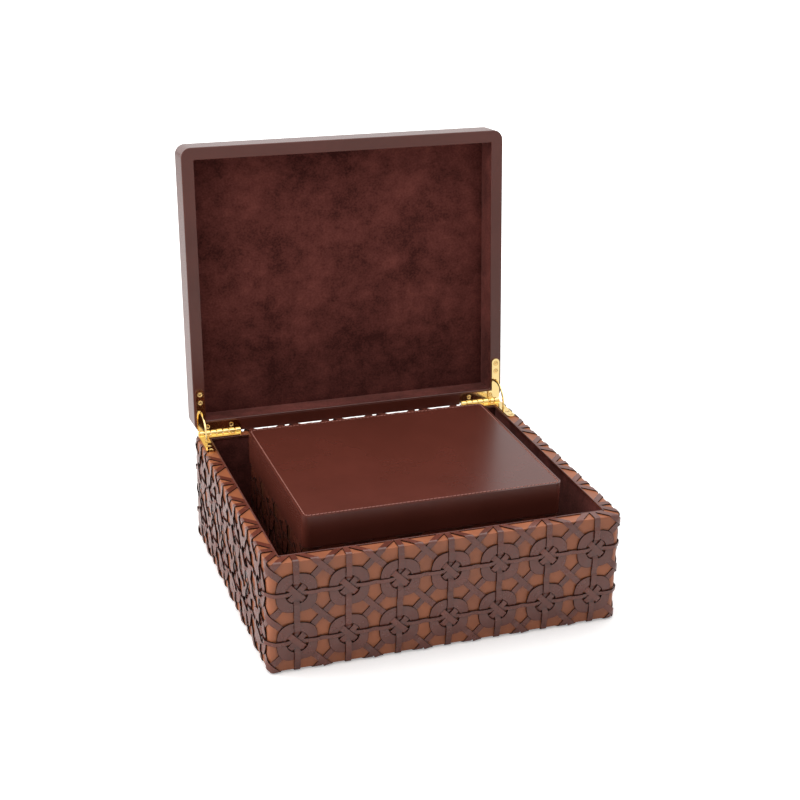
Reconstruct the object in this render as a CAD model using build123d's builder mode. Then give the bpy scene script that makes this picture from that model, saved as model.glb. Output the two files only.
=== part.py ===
"""Hinged leather box with a woven strap lattice, and the smaller lidded box that lifts out of it.

Millimetres. X runs along the front, Y to the back, Z up. The origin is the centre of the underside.
The outer lid is modelled where it stands open against its stop hinges.
"""
import os
from math import cos, pi, radians, sin, sqrt, tan

from build123d import *

os.makedirs("parts", exist_ok=True)

# ---------------------------------------------------------------------------
# Driving dimensions
# ---------------------------------------------------------------------------
# Outer box
box_width = 300.0
box_depth = 258.5
box_height = 97.0  # table to the leather on the rim
corner_radius = 8.0
leather = 1.5  # cover leather
wall_board = 7.5
wall_suede = 2.0
bottom_board = 5.0
floor_suede = 2.0
underside_felt = 1.5
turn_in = 12.0  # leather folded under the bottom edge
felt_inset = 6.0

# Outer lid
lid_height = 30.0
lid_corner_radius = 9.0
lid_edge_radius = 3.5
lid_board = 7.8
lid_suede = 1.7
lid_panel_board = 2.5
lid_panel_suede = 1.5
open_angle = 95.2

# Stop hinges
rim_gap = 4.4  # between the rims when the lid is shut
barrel_radius = 2.1
pin_radius = 1.0
pin_play = 0.15
knuckles = 7
knuckle_gap = 0.2
leaf_thickness = 1.6
leaf_length = 41.0  # along each side rim, from the pin
leaf_arm_width = 7.6
leaf_back_width = 9.5
leaf_reach = 40.0  # along the back rim
leaf_edge_inset = 2.1
leaf_corner_radius = 5.0
side_screw_places = (28.8, 36.4)  # from the pin
back_screw_places = (9.5, 31.3)  # from the outer edge of the leaf
back_screw_offset = 5.6  # from the pin
screw_head_radius = 2.3
screw_shank_radius = 1.3
stay_radius = 19.0
stay_bar = 2.4
stay_thickness = 1.2
stay_overlap = 10.5  # degrees of the stay left inside each leaf
stay_hook = 1.0
stay_hook_angle = 3.0
stay_play = 0.3
stay_steps = 12  # straight lengths that make up its arc
small_round_sides = 8  # flats round a barrel, a pin or a screw
clear_of_leaf = 0.3

# Lattice of straps
columns_round = 26
rows = 2
strap_leather = 0.6
upright_strap_width = 4.8
slanting_strap_width = 5.0
ring_across = 35.0
ring_hole = 16.8  # its corners let the slanting straps through
crest_half = 5.9  # half of the stretch where a slanting strap lies over the crossing
crest_ramp = 3.4
rim_tuck = 6.0
bottom_tuck = 5.5

# Inner box
inner_width = 224.0
inner_depth = 182.0
inner_shift = -3.0  # it stands a little in front of the middle
inner_body_height = 77.8
inner_lid_height = 27.5
inner_corner_radius = 6.0
inner_edge_bevel = 1.0
inner_leather = 1.2
inner_board = 5.0
inner_liner = 2.0
inner_bottom_board = 4.0
inner_floor_suede = 1.5
inner_felt = 1.0
inner_felt_inset = 3.0
inner_strap = 0.8
inner_columns_front = 5
inner_columns_side = 4
inner_lip = 8.0  # liner standing above the rim, over which the inner lid drops
inner_top_board = 3.0
inner_lid_suede = 1.0
rest_gap = 0.2  # between loose pieces that stand on each other

# ---------------------------------------------------------------------------
# Sizes that follow
# ---------------------------------------------------------------------------
half_width = box_width / 2
half_depth = box_depth / 2
rim_width = leather + wall_board + wall_suede
lid_rim_width = leather + lid_board + lid_suede
board_bottom = underside_felt + leather
board_top = box_height - leather
board_outline = (box_width - 2 * leather, box_depth - 2 * leather)
floor_top = board_bottom + bottom_board + floor_suede

hinge_y = half_depth
hinge_z = box_height + rim_gap / 2
arm_x = half_width - leaf_edge_inset - leaf_arm_width / 2
leaf_outer_x = half_width - leaf_edge_inset
leaf_inner_x = leaf_outer_x - leaf_reach
knuckle_pitch = leaf_reach / knuckles

stay_reach = open_angle / 2 + stay_overlap  # half of the arc
stay_outer = stay_radius + stay_bar / 2
stay_inner = stay_radius - stay_bar / 2
pocket_front = hinge_y - stay_outer - stay_hook - stay_play
pocket_back = hinge_y - stay_inner * cos(radians(stay_reach)) + stay_play
pocket_width = stay_thickness + 2 * stay_play
pocket_depth = (stay_outer + stay_hook) * sin(radians(stay_reach)) + stay_play

front_flat = box_width - 2 * corner_radius
side_flat = box_depth - 2 * corner_radius
perimeter = 2 * (front_flat + side_flat) + 2 * pi * corner_radius
pitch = perimeter / columns_round
row_heights = [box_height / 2 + (row - (rows - 1) / 2) * pitch for row in range(rows)]
slant_low = {1: 0.0, -1: strap_leather}
ring_level = 2 * strap_leather
upright_level = 3 * strap_leather
level_level = 4 * strap_leather
slant_crest = {1: 5 * strap_leather, -1: 6 * strap_leather}

inner_floor = floor_top + rest_gap
inner_body_width = inner_width - 4 * inner_strap
inner_body_depth = inner_depth - 4 * inner_strap

# Working planes: the lid's plane lies on its rim, centred, and looks out through its top
hinge_plane = Plane(
    origin=(0, hinge_y, hinge_z),
    x_dir=(1, 0, 0),
    z_dir=(0, sin(radians(open_angle)), cos(radians(open_angle))),
)
lid_plane = Plane(
    origin=hinge_plane.from_local_coords((0, -half_depth, rim_gap / 2)),
    x_dir=hinge_plane.x_dir,
    z_dir=hinge_plane.z_dir,
)
inner_plane = Plane.XY.move(Location((0, inner_shift, inner_floor)))
inner_lid_plane = inner_plane.offset(inner_body_height + rest_gap)


# ---------------------------------------------------------------------------
# Pieces that several boxes share
# ---------------------------------------------------------------------------
# A bevel with this share of a corner's radius as its legs touches the middle of the rounded corner
touching_bevel = 2 - sqrt(2)
# A board that fits inside a rounded leather corner is bevelled a little more
bevel_share = 0.65


def bevelled_outline(width, depth, bevel):
    """A rectangle with bevelled corners, as a face to build on."""
    with BuildSketch() as outline:
        face = Rectangle(width, depth)
        chamfer(face.vertices(), bevel)
    return outline.sketch


def write_boards(prefix, plane, outline, thickness, radius, heights, pockets=None):
    """Four wall boards: front and back run the full width, the sides fit between them."""
    width, depth = outline
    bottom, top = heights
    for side, sign in (("front", -1), ("back", 1)):
        with BuildPart() as board:
            with BuildSketch(plane.offset(bottom)) as section:
                with Locations((0, sign * (depth - thickness) / 2)):
                    Rectangle(width, thickness)
                front_to_back = section.vertices().sort_by(Axis.Y)
                chamfer(front_to_back[2:] if sign > 0 else front_to_back[:2], radius * bevel_share)
            extrude(amount=top - bottom)
        board.part.label = f"{prefix}_{side}_board"
        export_step(board.part, f"parts/{board.part.label}.step")
    for side, sign in (("left", -1), ("right", 1)):
        with BuildPart() as board:
            with BuildSketch(plane.offset(bottom)):
                with Locations((sign * (width - thickness) / 2, 0)):
                    Rectangle(thickness, depth - 2 * thickness)
            extrude(amount=top - bottom)
            if pockets:
                add(pockets, mode=Mode.SUBTRACT)
        board.part.label = f"{prefix}_{side}_board"
        export_step(board.part, f"parts/{board.part.label}.step")


def stay_pockets(plane, bottom, top):
    """Slots milled in the side walls, in which the curved stays of the hinges hide."""
    with BuildPart() as pockets:
        with BuildSketch(plane.offset(bottom)):
            with Locations(*[(side * arm_x, (pocket_front + pocket_back) / 2) for side in (-1, 1)]):
                Rectangle(pocket_width, pocket_back - pocket_front)
        extrude(amount=top - bottom)
    return pockets.part


# ---------------------------------------------------------------------------
# Outer box: boards, leather, suede and felt
# ---------------------------------------------------------------------------
base_pockets = stay_pockets(Plane.XY, hinge_z - pocket_depth, box_height)
write_boards(
    "base",
    Plane.XY,
    board_outline,
    wall_board,
    corner_radius - leather,
    (board_bottom, board_top),
    base_pockets,
)

well_width = box_width - 2 * (leather + wall_board)
well_depth = box_depth - 2 * (leather + wall_board)
mouth_width = box_width - 2 * rim_width
mouth_depth = box_depth - 2 * rim_width

with BuildPart() as base_bottom_board:
    with BuildSketch(Plane.XY.offset(board_bottom)):
        Rectangle(well_width, well_depth)
    extrude(amount=bottom_board)
base_bottom_board.part.label = "base_bottom_board"
export_step(base_bottom_board.part, "parts/base_bottom_board.step")

with BuildPart() as base_leather_cover:
    with BuildSketch(Plane.XY.offset(underside_felt)):
        RectangleRounded(box_width, box_depth, corner_radius)
    extrude(amount=box_height - underside_felt)
    with BuildSketch(Plane.XY.offset(board_bottom)):
        add(bevelled_outline(*board_outline, (corner_radius - leather) * bevel_share))
    extrude(amount=board_top - board_bottom, mode=Mode.SUBTRACT)
    with BuildSketch(Plane.XY.offset(board_top)):
        Rectangle(mouth_width, mouth_depth)
    extrude(amount=leather, mode=Mode.SUBTRACT)
    with BuildSketch(Plane.XY.offset(underside_felt)):
        Rectangle(box_width - 2 * turn_in, box_depth - 2 * turn_in)
    extrude(amount=leather, mode=Mode.SUBTRACT)
    add(base_pockets, mode=Mode.SUBTRACT)
base_leather_cover.part.label = "base_leather_cover"
export_step(base_leather_cover.part, "parts/base_leather_cover.step")

with BuildPart() as base_wall_lining:
    with BuildSketch(Plane.XY.offset(board_bottom + bottom_board)):
        Rectangle(well_width, well_depth)
        Rectangle(mouth_width, mouth_depth, mode=Mode.SUBTRACT)
    extrude(amount=board_top - board_bottom - bottom_board)
base_wall_lining.part.label = "base_wall_lining"
export_step(base_wall_lining.part, "parts/base_wall_lining.step")

with BuildPart() as base_floor_lining:
    with BuildSketch(Plane.XY.offset(board_bottom + bottom_board)):
        Rectangle(mouth_width, mouth_depth)
    extrude(amount=floor_suede)
base_floor_lining.part.label = "base_floor_lining"
export_step(base_floor_lining.part, "parts/base_floor_lining.step")

with BuildPart() as base_underside_felt:
    with BuildSketch():
        Rectangle(box_width - 2 * felt_inset, box_depth - 2 * felt_inset)
    extrude(amount=underside_felt)
    with BuildSketch(Plane.XY.offset(underside_felt)):
        Rectangle(box_width - 2 * turn_in, box_depth - 2 * turn_in)
    extrude(amount=leather)
base_underside_felt.part.label = "base_underside_felt"
export_step(base_underside_felt.part, "parts/base_underside_felt.step")


# ---------------------------------------------------------------------------
# Lattice: the straps and rings are woven, so each lies over one kind and under another
# ---------------------------------------------------------------------------
# A wall plane has X along the wall, Y up and Z outwards; s counts round the box from the front's middle
wall_planes = [
    (Plane(origin=(0, -half_depth, 0), x_dir=(1, 0, 0), z_dir=(0, -1, 0)), front_flat),
    (Plane(origin=(half_width, 0, 0), x_dir=(0, 1, 0), z_dir=(1, 0, 0)), side_flat),
    (Plane(origin=(0, half_depth, 0), x_dir=(-1, 0, 0), z_dir=(0, 1, 0)), front_flat),
    (Plane(origin=(-half_width, 0, 0), x_dir=(0, -1, 0), z_dir=(-1, 0, 0)), side_flat),
]


def wrapped(distance):
    """A distance round the box, brought to within half a turn of zero."""
    return (distance + perimeter / 2) % perimeter - perimeter / 2


def places_on_walls(margin):
    """Where each column meets a wall, up to a margin past that wall's flat stretch."""
    places = []
    for wall, (plane, flat) in enumerate(wall_planes):
        for column in range(columns_round):
            along = wrapped(column * pitch - wall * perimeter / 4)
            if abs(along) < flat / 2 + margin:
                places.append(plane.location * Location((along, 0, 0)))
    return places


with BuildPart() as one_ring:
    with BuildSketch(Plane.XY.offset(ring_level)):
        with Locations(*[(0, height) for height in row_heights]):
            RegularPolygon(ring_across / 2, 8, major_radius=False, rotation=180 / 8)
            Rectangle(ring_hole, ring_hole, mode=Mode.SUBTRACT)
    extrude(amount=strap_leather)

with BuildPart() as lattice_rings:
    with Locations(*places_on_walls(0)):
        add(one_ring.part)
lattice_rings.part.label = "lattice_rings"
export_step(lattice_rings.part, "parts/lattice_rings.step")

# An upright strap runs from under the bottom edge, up the wall, over the rim and down inside it
upright_outer = upright_level + strap_leather
with BuildPart() as one_upright:
    with BuildSketch(Plane.YZ):
        with BuildLine():
            Polyline(
                (underside_felt, -bottom_tuck),
                (underside_felt, upright_level),
                (box_height, upright_level),
                (box_height, -rim_width),
                (box_height - rim_tuck, -rim_width),
                (box_height - rim_tuck, -rim_width - strap_leather),
                (box_height + strap_leather, -rim_width - strap_leather),
                (box_height + strap_leather, upright_outer),
                (underside_felt - strap_leather, upright_outer),
                (underside_felt - strap_leather, -bottom_tuck),
                close=True,
            )
        make_face()
    extrude(amount=upright_strap_width / 2, both=True)

leaf_front = hinge_y - leaf_length - clear_of_leaf
mouth_edge_x = half_width - rim_width - strap_leather
mouth_edge_y = half_depth - rim_width - strap_leather
with BuildPart() as lattice_upright_straps:
    with Locations(*places_on_walls(0)):
        add(one_upright.part)
    # The straps under the hinge leaves stop at the leaves' edges
    with BuildSketch(Plane.XY.offset(box_height - rim_tuck)):
        for side in (-1, 1):
            side_span = (mouth_edge_x, leaf_outer_x + clear_of_leaf)
            with Locations((side * sum(side_span) / 2, (leaf_front + mouth_edge_y) / 2)):
                Rectangle(side_span[1] - side_span[0], mouth_edge_y - leaf_front)
            back_span = (leaf_inner_x - clear_of_leaf, leaf_outer_x + clear_of_leaf)
            with Locations((side * sum(back_span) / 2, mouth_edge_y + strap_leather / 2)):
                Rectangle(back_span[1] - back_span[0], strap_leather)
    extrude(amount=rim_tuck + strap_leather, mode=Mode.SUBTRACT)
    with BuildSketch(Plane.XY.offset(box_height - clear_of_leaf)):
        for side in (-1, 1):
            with Locations((side * sum(back_span) / 2, half_depth - rim_width / 2)):
                Rectangle(back_span[1] - back_span[0], rim_width + 2 * upright_outer)
    extrude(amount=strap_leather + clear_of_leaf, mode=Mode.SUBTRACT)
lattice_upright_straps.part.label = "lattice_upright_straps"
export_step(lattice_upright_straps.part, "parts/lattice_upright_straps.step")

with BuildPart() as lattice_level_straps:
    for height in row_heights:
        with BuildSketch(Plane.XY.offset(height - upright_strap_width / 2)):
            for layer, mode in ((level_level + strap_leather, Mode.ADD), (level_level, Mode.SUBTRACT)):
                bevel = (corner_radius + layer) * touching_bevel
                add(bevelled_outline(box_width + 2 * layer, box_depth + 2 * layer, bevel), mode=mode)
        extrude(amount=upright_strap_width)
lattice_level_straps.part.label = "lattice_level_straps"
export_step(lattice_level_straps.part, "parts/lattice_level_straps.step")


def write_slanting_straps(name, lean):
    """One family of slanting straps: low under the rings, high over each crossing, and bent round the corners."""
    low = slant_low[lean]
    crest = slant_crest[lean]
    step = pitch * sqrt(2)
    start = -(row_heights[0] + slanting_strap_width) * sqrt(2)
    end = (box_height - row_heights[0] + slanting_strap_width) * sqrt(2)
    top_line = [(start, low)]
    for row in range(rows):
        middle = row * step
        top_line += [
            (middle - crest_half - crest_ramp, low),
            (middle - crest_half, crest),
            (middle + crest_half, crest),
            (middle + crest_half + crest_ramp, low),
        ]
    top_line.append((end, low))
    outer_line = [(along, level + strap_leather) for along, level in reversed(top_line)]
    with BuildPart() as one_strap:
        run = Vector(lean, 1, 0).normalized()
        with BuildSketch(Plane(origin=(0, row_heights[0], 0), x_dir=run, z_dir=run.cross(Vector(0, 0, 1)))):
            with BuildLine():
                Polyline(*top_line, *outer_line, close=True)
            make_face()
        extrude(amount=slanting_strap_width / 2, both=True)

    # Between two walls a strap crosses the rounded corner on one flat, touching it at its middle
    outer_radius = corner_radius + low + strap_leather
    past_flat = outer_radius * tan(pi / 8)
    corner_span = pi * corner_radius / 4 - corner_radius * tan(pi / 8)
    corner_reach = corner_radius * tan(pi / 8)
    half_rise = slanting_strap_width * sqrt(2) / 2
    wall_height = box_height - underside_felt
    with BuildPart() as straps:
        with Locations(*places_on_walls(box_height)):
            add(one_strap.part)
        with BuildSketch(Plane.XY.offset(underside_felt)):
            for plane, flat in wall_planes:
                with Locations(plane.location.position + plane.z_dir * crest):
                    along_x = abs(plane.x_dir.X) > 0.5
                    length = flat + 2 * past_flat
                    Rectangle(length if along_x else 2 * crest, 2 * crest if along_x else length)
        extrude(amount=wall_height, mode=Mode.INTERSECT)
        for wall, (plane, flat) in enumerate(wall_planes):
            following = wall_planes[(wall + 1) % 4][0]
            outward = (plane.z_dir + following.z_dir).normalized()
            corner_centre = plane.from_local_coords((flat / 2, 0, -corner_radius))
            facet = Plane(
                origin=corner_centre + outward * (corner_radius + low),
                x_dir=(plane.x_dir + following.x_dir).normalized(),
                z_dir=outward,
            )
            corner_place = wall * perimeter / 4 + flat / 2 + pi * corner_radius / 4
            for column in range(columns_round):
                rise = lean * wrapped(corner_place - column * pitch)
                height = row_heights[0] + rise
                if not -pitch < height < box_height + pitch or abs(rise) > perimeter / 4:
                    continue
                slope = lean * corner_span / corner_reach * past_flat
                ends = [(-past_flat, height - slope), (past_flat, height + slope)]
                lower = [(x, y - half_rise) for x, y in ends]
                upper = [(x, y + half_rise) for x, y in reversed(ends)]
                lowest = min(y for x, y in lower)
                highest = max(y for x, y in upper)
                if highest <= underside_felt or lowest >= box_height:
                    continue
                with BuildSketch(facet):
                    with BuildLine():
                        Polyline(*lower, *upper, close=True)
                    make_face()
                    with Locations((0, underside_felt + wall_height / 2)):
                        Rectangle(2 * past_flat, wall_height, mode=Mode.INTERSECT)
                extrude(amount=strap_leather)
    straps.part.label = name
    export_step(straps.part, f"parts/{name}.step")


write_slanting_straps("lattice_rising_straps", 1)
write_slanting_straps("lattice_falling_straps", -1)

# ---------------------------------------------------------------------------
# Outer lid
# ---------------------------------------------------------------------------
lid_ceiling = lid_height - leather - lid_panel_board
lid_pockets = stay_pockets(lid_plane, 0, pocket_depth - rim_gap / 2)
write_boards(
    "lid",
    lid_plane,
    board_outline,
    lid_board,
    lid_corner_radius - leather,
    (leather, lid_ceiling),
    lid_pockets,
)

with BuildPart() as lid_top_panel:
    with BuildSketch(lid_plane.offset(lid_ceiling)):
        add(bevelled_outline(*board_outline, (lid_corner_radius - leather) * bevel_share))
    extrude(amount=lid_panel_board)
lid_top_panel.part.label = "lid_top_panel"
export_step(lid_top_panel.part, "parts/lid_top_panel.step")

lid_mouth_width = box_width - 2 * lid_rim_width
lid_mouth_depth = box_depth - 2 * lid_rim_width
with BuildPart() as lid_leather_cover:
    with BuildSketch(lid_plane):
        RectangleRounded(box_width, box_depth, lid_corner_radius)
    extrude(amount=lid_height)
    fillet(lid_leather_cover.faces().sort_by(Axis(lid_plane.origin, lid_plane.z_dir))[-1].edges(), lid_edge_radius)
    with BuildSketch(lid_plane.offset(leather)):
        add(bevelled_outline(*board_outline, (lid_corner_radius - leather) * bevel_share))
    extrude(amount=lid_height - 2 * leather, mode=Mode.SUBTRACT)
    with BuildSketch(lid_plane):
        Rectangle(lid_mouth_width, lid_mouth_depth)
    extrude(amount=leather, mode=Mode.SUBTRACT)
    add(lid_pockets, mode=Mode.SUBTRACT)
lid_leather_cover.part.label = "lid_leather_cover"
export_step(lid_leather_cover.part, "parts/lid_leather_cover.step")

lid_well_width = box_width - 2 * (leather + lid_board)
lid_well_depth = box_depth - 2 * (leather + lid_board)
with BuildPart() as lid_wall_lining:
    with BuildSketch(lid_plane.offset(leather)):
        Rectangle(lid_well_width, lid_well_depth)
        Rectangle(lid_mouth_width, lid_mouth_depth, mode=Mode.SUBTRACT)
    extrude(amount=lid_ceiling - leather)
lid_wall_lining.part.label = "lid_wall_lining"
export_step(lid_wall_lining.part, "parts/lid_wall_lining.step")

with BuildPart() as lid_panel_lining:
    with BuildSketch(lid_plane.offset(lid_ceiling - lid_panel_suede)):
        Rectangle(lid_mouth_width, lid_mouth_depth)
    extrude(amount=lid_panel_suede)
lid_panel_lining.part.label = "lid_panel_lining"
export_step(lid_panel_lining.part, "parts/lid_panel_lining.step")

strip_length = 2 * (leaf_inner_x - clear_of_leaf)
strip_width = leaf_back_width - barrel_radius
with BuildPart() as lid_back_rim_strip:
    with BuildSketch(lid_plane.offset(-leaf_thickness / 2)):
        with Locations((0, half_depth - barrel_radius - strip_width / 2)):
            Rectangle(strip_length, strip_width)
    extrude(amount=leaf_thickness / 2)
lid_back_rim_strip.part.label = "lid_back_rim_strip"
export_step(lid_back_rim_strip.part, "parts/lid_back_rim_strip.step")

# ---------------------------------------------------------------------------
# Stop hinges: L-shaped leaves on both rims, knuckles on a pin, and a curved stay
# ---------------------------------------------------------------------------
axis_plane = Plane(origin=(0, hinge_y, hinge_z), x_dir=(1, 0, 0), z_dir=(0, 0, 1))


def countersunk_screws(plane, plate_top, rim_side):
    """Screws flush in the leaves' free faces, drawn down to the leaves' backs."""
    with BuildPart() as screw:
        with BuildSketch(Plane.XY):
            RegularPolygon(screw_head_radius, small_round_sides)
        with BuildSketch(Plane.XY.offset(rim_side * leaf_thickness)):
            RegularPolygon(screw_shank_radius, small_round_sides)
        loft(ruled=True)
    places = [(side * arm_x, -distance) for side in (-1, 1) for distance in side_screw_places]
    places += [
        (side * (leaf_outer_x - distance), -back_screw_offset)
        for side in (-1, 1)
        for distance in back_screw_places
    ]
    with BuildPart() as group:
        with Locations(*[plane.location * Location((x, y, plate_top)) for x, y in places]):
            add(screw.part)
    return group.part


def write_leaves(kind, plane, plate_top, rim_side, own_knuckles):
    """Both leaves of one kind and their screws; plate_top is the plate's face away from its rim."""
    screws = countersunk_screws(plane, plate_top, rim_side)
    screws.label = f"hinge_{kind}_screws"
    export_step(screws, f"parts/{screws.label}.step")

    barrel_start = Plane(origin=plane.origin, x_dir=plane.y_dir, z_dir=plane.x_dir).offset(leaf_inner_x)
    arm_inner_x = arm_x - leaf_arm_width / 2
    arc_start = -leaf_length + leaf_arm_width / 2
    slot_inner = sqrt(stay_inner**2 - (rim_gap / 2) ** 2) - stay_play
    slot_outer = stay_outer + stay_play
    with BuildPart() as leaves:
        with BuildSketch(plane.offset(min(plate_top, plate_top + rim_side * leaf_thickness))):
            with BuildLine():
                Polyline(
                    (arm_inner_x, arc_start),
                    (arm_inner_x, -leaf_back_width),
                    (leaf_inner_x + leaf_corner_radius, -leaf_back_width),
                )
                RadiusArc(
                    (leaf_inner_x + leaf_corner_radius, -leaf_back_width),
                    (leaf_inner_x, -leaf_back_width + leaf_corner_radius),
                    leaf_corner_radius,
                )
                Polyline(
                    (leaf_inner_x, -leaf_back_width + leaf_corner_radius),
                    (leaf_inner_x, 0),
                    (leaf_outer_x, 0),
                    (leaf_outer_x, arc_start),
                )
                ThreePointArc((leaf_outer_x, arc_start), (arm_x, -leaf_length), (arm_inner_x, arc_start))
            make_face()
            with Locations((arm_x, -(slot_inner + slot_outer) / 2)):
                Rectangle(pocket_width, slot_outer - slot_inner, mode=Mode.SUBTRACT)
        extrude(amount=leaf_thickness)
        with BuildSketch(barrel_start):
            RegularPolygon(barrel_radius, small_round_sides)
        extrude(amount=leaf_reach)
        # Room for the other leaf's knuckles
        other_knuckles = [knuckle for knuckle in range(knuckles) if knuckle not in own_knuckles]
        with BuildSketch(plane.offset(-barrel_radius)):
            for knuckle in other_knuckles:
                with Locations((leaf_inner_x + (knuckle + 0.5) * knuckle_pitch, 0)):
                    Rectangle(knuckle_pitch + knuckle_gap, 2 * (barrel_radius + stay_play))
        extrude(amount=2 * (barrel_radius + stay_play), mode=Mode.SUBTRACT)
        with BuildSketch(barrel_start):
            RegularPolygon(pin_radius + pin_play, small_round_sides)
        extrude(amount=leaf_reach, mode=Mode.SUBTRACT)
        mirror(about=Plane.YZ)
        add(screws, mode=Mode.SUBTRACT)
    leaves.part.label = f"hinge_{kind}_leaves"
    export_step(leaves.part, f"parts/{leaves.part.label}.step")


plate_face = rim_gap / 2 - leaf_thickness
base_knuckles = range(0, knuckles, 2)
lid_knuckles = range(1, knuckles, 2)
write_leaves("base", axis_plane, -plate_face, -1, base_knuckles)
write_leaves("lid", hinge_plane, plate_face, 1, lid_knuckles)

with BuildPart() as hinge_pins:
    with BuildSketch(Plane.YZ.offset(leaf_inner_x)):
        with Locations((hinge_y, hinge_z)):
            RegularPolygon(pin_radius, small_round_sides)
    extrude(amount=leaf_reach)
    mirror(about=Plane.YZ)
hinge_pins.part.label = "hinge_pins"
export_step(hinge_pins.part, "parts/hinge_pins.step")

def arc_points(radius, start, end, steps=stay_steps):
    """Points along an arc about the pin, between two angles above the base rim."""
    angles = [radians(start + (end - start) * step / steps) for step in range(steps + 1)]
    return [(radius * cos(angle), radius * sin(angle)) for angle in angles]


# A stay is a flat arc about the pin, with a hook at each end that catches behind its leaf
stay_start = -stay_overlap
stay_end = open_angle + stay_overlap
hooked_edge = [
    *arc_points(stay_outer + stay_hook, stay_end, stay_end - stay_hook_angle, 1),
    *arc_points(stay_outer, stay_end - stay_hook_angle, stay_start + stay_hook_angle),
    *arc_points(stay_outer + stay_hook, stay_start + stay_hook_angle, stay_start, 1),
]
for side, sign in (("left", -1), ("right", 1)):
    stay_plane = Plane(
        origin=(sign * arm_x + stay_thickness / 2, hinge_y, hinge_z), x_dir=(0, -1, 0), z_dir=(-1, 0, 0)
    )
    with BuildPart() as stay:
        with BuildSketch(stay_plane):
            with BuildLine():
                Polyline(*arc_points(stay_inner, stay_start, stay_end), *hooked_edge, close=True)
            make_face()
        extrude(amount=stay_thickness)
    stay.part.label = f"{side}_stay"
    export_step(stay.part, f"parts/{stay.part.label}.step")

# ---------------------------------------------------------------------------
# Inner box
# ---------------------------------------------------------------------------
inner_cover_outline = (inner_body_width, inner_body_depth)
inner_board_outline = (inner_body_width - 2 * inner_leather, inner_body_depth - 2 * inner_leather)
inner_bevel = (inner_corner_radius - inner_leather) * bevel_share
inner_board_bottom = inner_felt + inner_bottom_board
inner_board_top = inner_body_height - inner_leather
write_boards(
    "inner_box",
    inner_plane,
    inner_board_outline,
    inner_board,
    inner_corner_radius - inner_leather,
    (inner_board_bottom, inner_board_top),
)
liner_outline = (inner_board_outline[0] - 2 * inner_board, inner_board_outline[1] - 2 * inner_board)
inner_mouth = (liner_outline[0] - 2 * inner_liner, liner_outline[1] - 2 * inner_liner)

with BuildPart() as inner_box_leather_cover:
    with BuildSketch(inner_plane.offset(inner_felt)):
        RectangleRounded(*inner_cover_outline, inner_corner_radius)
    extrude(amount=inner_body_height - inner_felt)
    with BuildSketch(inner_plane.offset(inner_felt)):
        add(bevelled_outline(*inner_board_outline, inner_bevel))
    extrude(amount=inner_board_top - inner_felt, mode=Mode.SUBTRACT)
    with BuildSketch(inner_plane.offset(inner_board_top)):
        Rectangle(*liner_outline)
    extrude(amount=inner_leather, mode=Mode.SUBTRACT)
inner_box_leather_cover.part.label = "inner_box_leather_cover"
export_step(inner_box_leather_cover.part, "parts/inner_box_leather_cover.step")

with BuildPart() as inner_box_bottom_board:
    with BuildSketch(inner_plane.offset(inner_felt)):
        add(bevelled_outline(*inner_board_outline, inner_bevel))
    extrude(amount=inner_bottom_board)
inner_box_bottom_board.part.label = "inner_box_bottom_board"
export_step(inner_box_bottom_board.part, "parts/inner_box_bottom_board.step")

with BuildPart() as inner_box_underside_felt:
    with BuildSketch(inner_plane):
        Rectangle(inner_board_outline[0] - 2 * inner_felt_inset, inner_board_outline[1] - 2 * inner_felt_inset)
    extrude(amount=inner_felt)
inner_box_underside_felt.part.label = "inner_box_underside_felt"
export_step(inner_box_underside_felt.part, "parts/inner_box_underside_felt.step")

with BuildPart() as inner_box_liner:
    with BuildSketch(inner_plane.offset(inner_board_bottom)):
        Rectangle(*liner_outline)
        Rectangle(*inner_mouth, mode=Mode.SUBTRACT)
    extrude(amount=inner_body_height + inner_lip - inner_board_bottom)
inner_box_liner.part.label = "inner_box_liner"
export_step(inner_box_liner.part, "parts/inner_box_liner.step")

with BuildPart() as inner_box_floor_lining:
    with BuildSketch(inner_plane.offset(inner_board_bottom)):
        Rectangle(*inner_mouth)
    extrude(amount=inner_floor_suede)
inner_box_floor_lining.part.label = "inner_box_floor_lining"
export_step(inner_box_floor_lining.part, "parts/inner_box_floor_lining.step")

# Plain straps on the inner box: uprights against the leather, level straps over them
inner_strap_height = inner_body_height - inner_felt
with BuildPart() as inner_box_upright_straps:
    with BuildSketch(inner_plane.offset(inner_felt)):
        for sign in (-1, 1):
            with Locations((0, sign * (inner_body_depth + inner_strap) / 2)):
                with GridLocations(pitch, 0, inner_columns_front, 1):
                    Rectangle(upright_strap_width, inner_strap)
            with Locations((sign * (inner_body_width + inner_strap) / 2, 0)):
                with GridLocations(0, pitch, 1, inner_columns_side):
                    Rectangle(inner_strap, upright_strap_width)
    extrude(amount=inner_strap_height)
inner_box_upright_straps.part.label = "inner_box_upright_straps"
export_step(inner_box_upright_straps.part, "parts/inner_box_upright_straps.step")

with BuildPart() as inner_box_level_straps:
    for row in range(rows):
        middle = inner_felt + inner_strap_height / 2 + (row - (rows - 1) / 2) * pitch
        with BuildSketch(inner_plane.offset(middle - upright_strap_width / 2)):
            for layer, mode in ((2 * inner_strap, Mode.ADD), (inner_strap, Mode.SUBTRACT)):
                bevel = (inner_corner_radius + layer) * touching_bevel
                add(bevelled_outline(inner_body_width + 2 * layer, inner_body_depth + 2 * layer, bevel), mode=mode)
        extrude(amount=upright_strap_width)
inner_box_level_straps.part.label = "inner_box_level_straps"
export_step(inner_box_level_straps.part, "parts/inner_box_level_straps.step")

# ---------------------------------------------------------------------------
# Inner lid
# ---------------------------------------------------------------------------
inner_lid_outline = (inner_width - 2 * inner_leather, inner_depth - 2 * inner_leather)
inner_lid_ceiling = inner_lid_height - inner_leather - inner_top_board
write_boards(
    "inner_lid",
    inner_lid_plane,
    inner_lid_outline,
    inner_board,
    inner_corner_radius - inner_leather,
    (inner_leather, inner_lid_ceiling),
)

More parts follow.
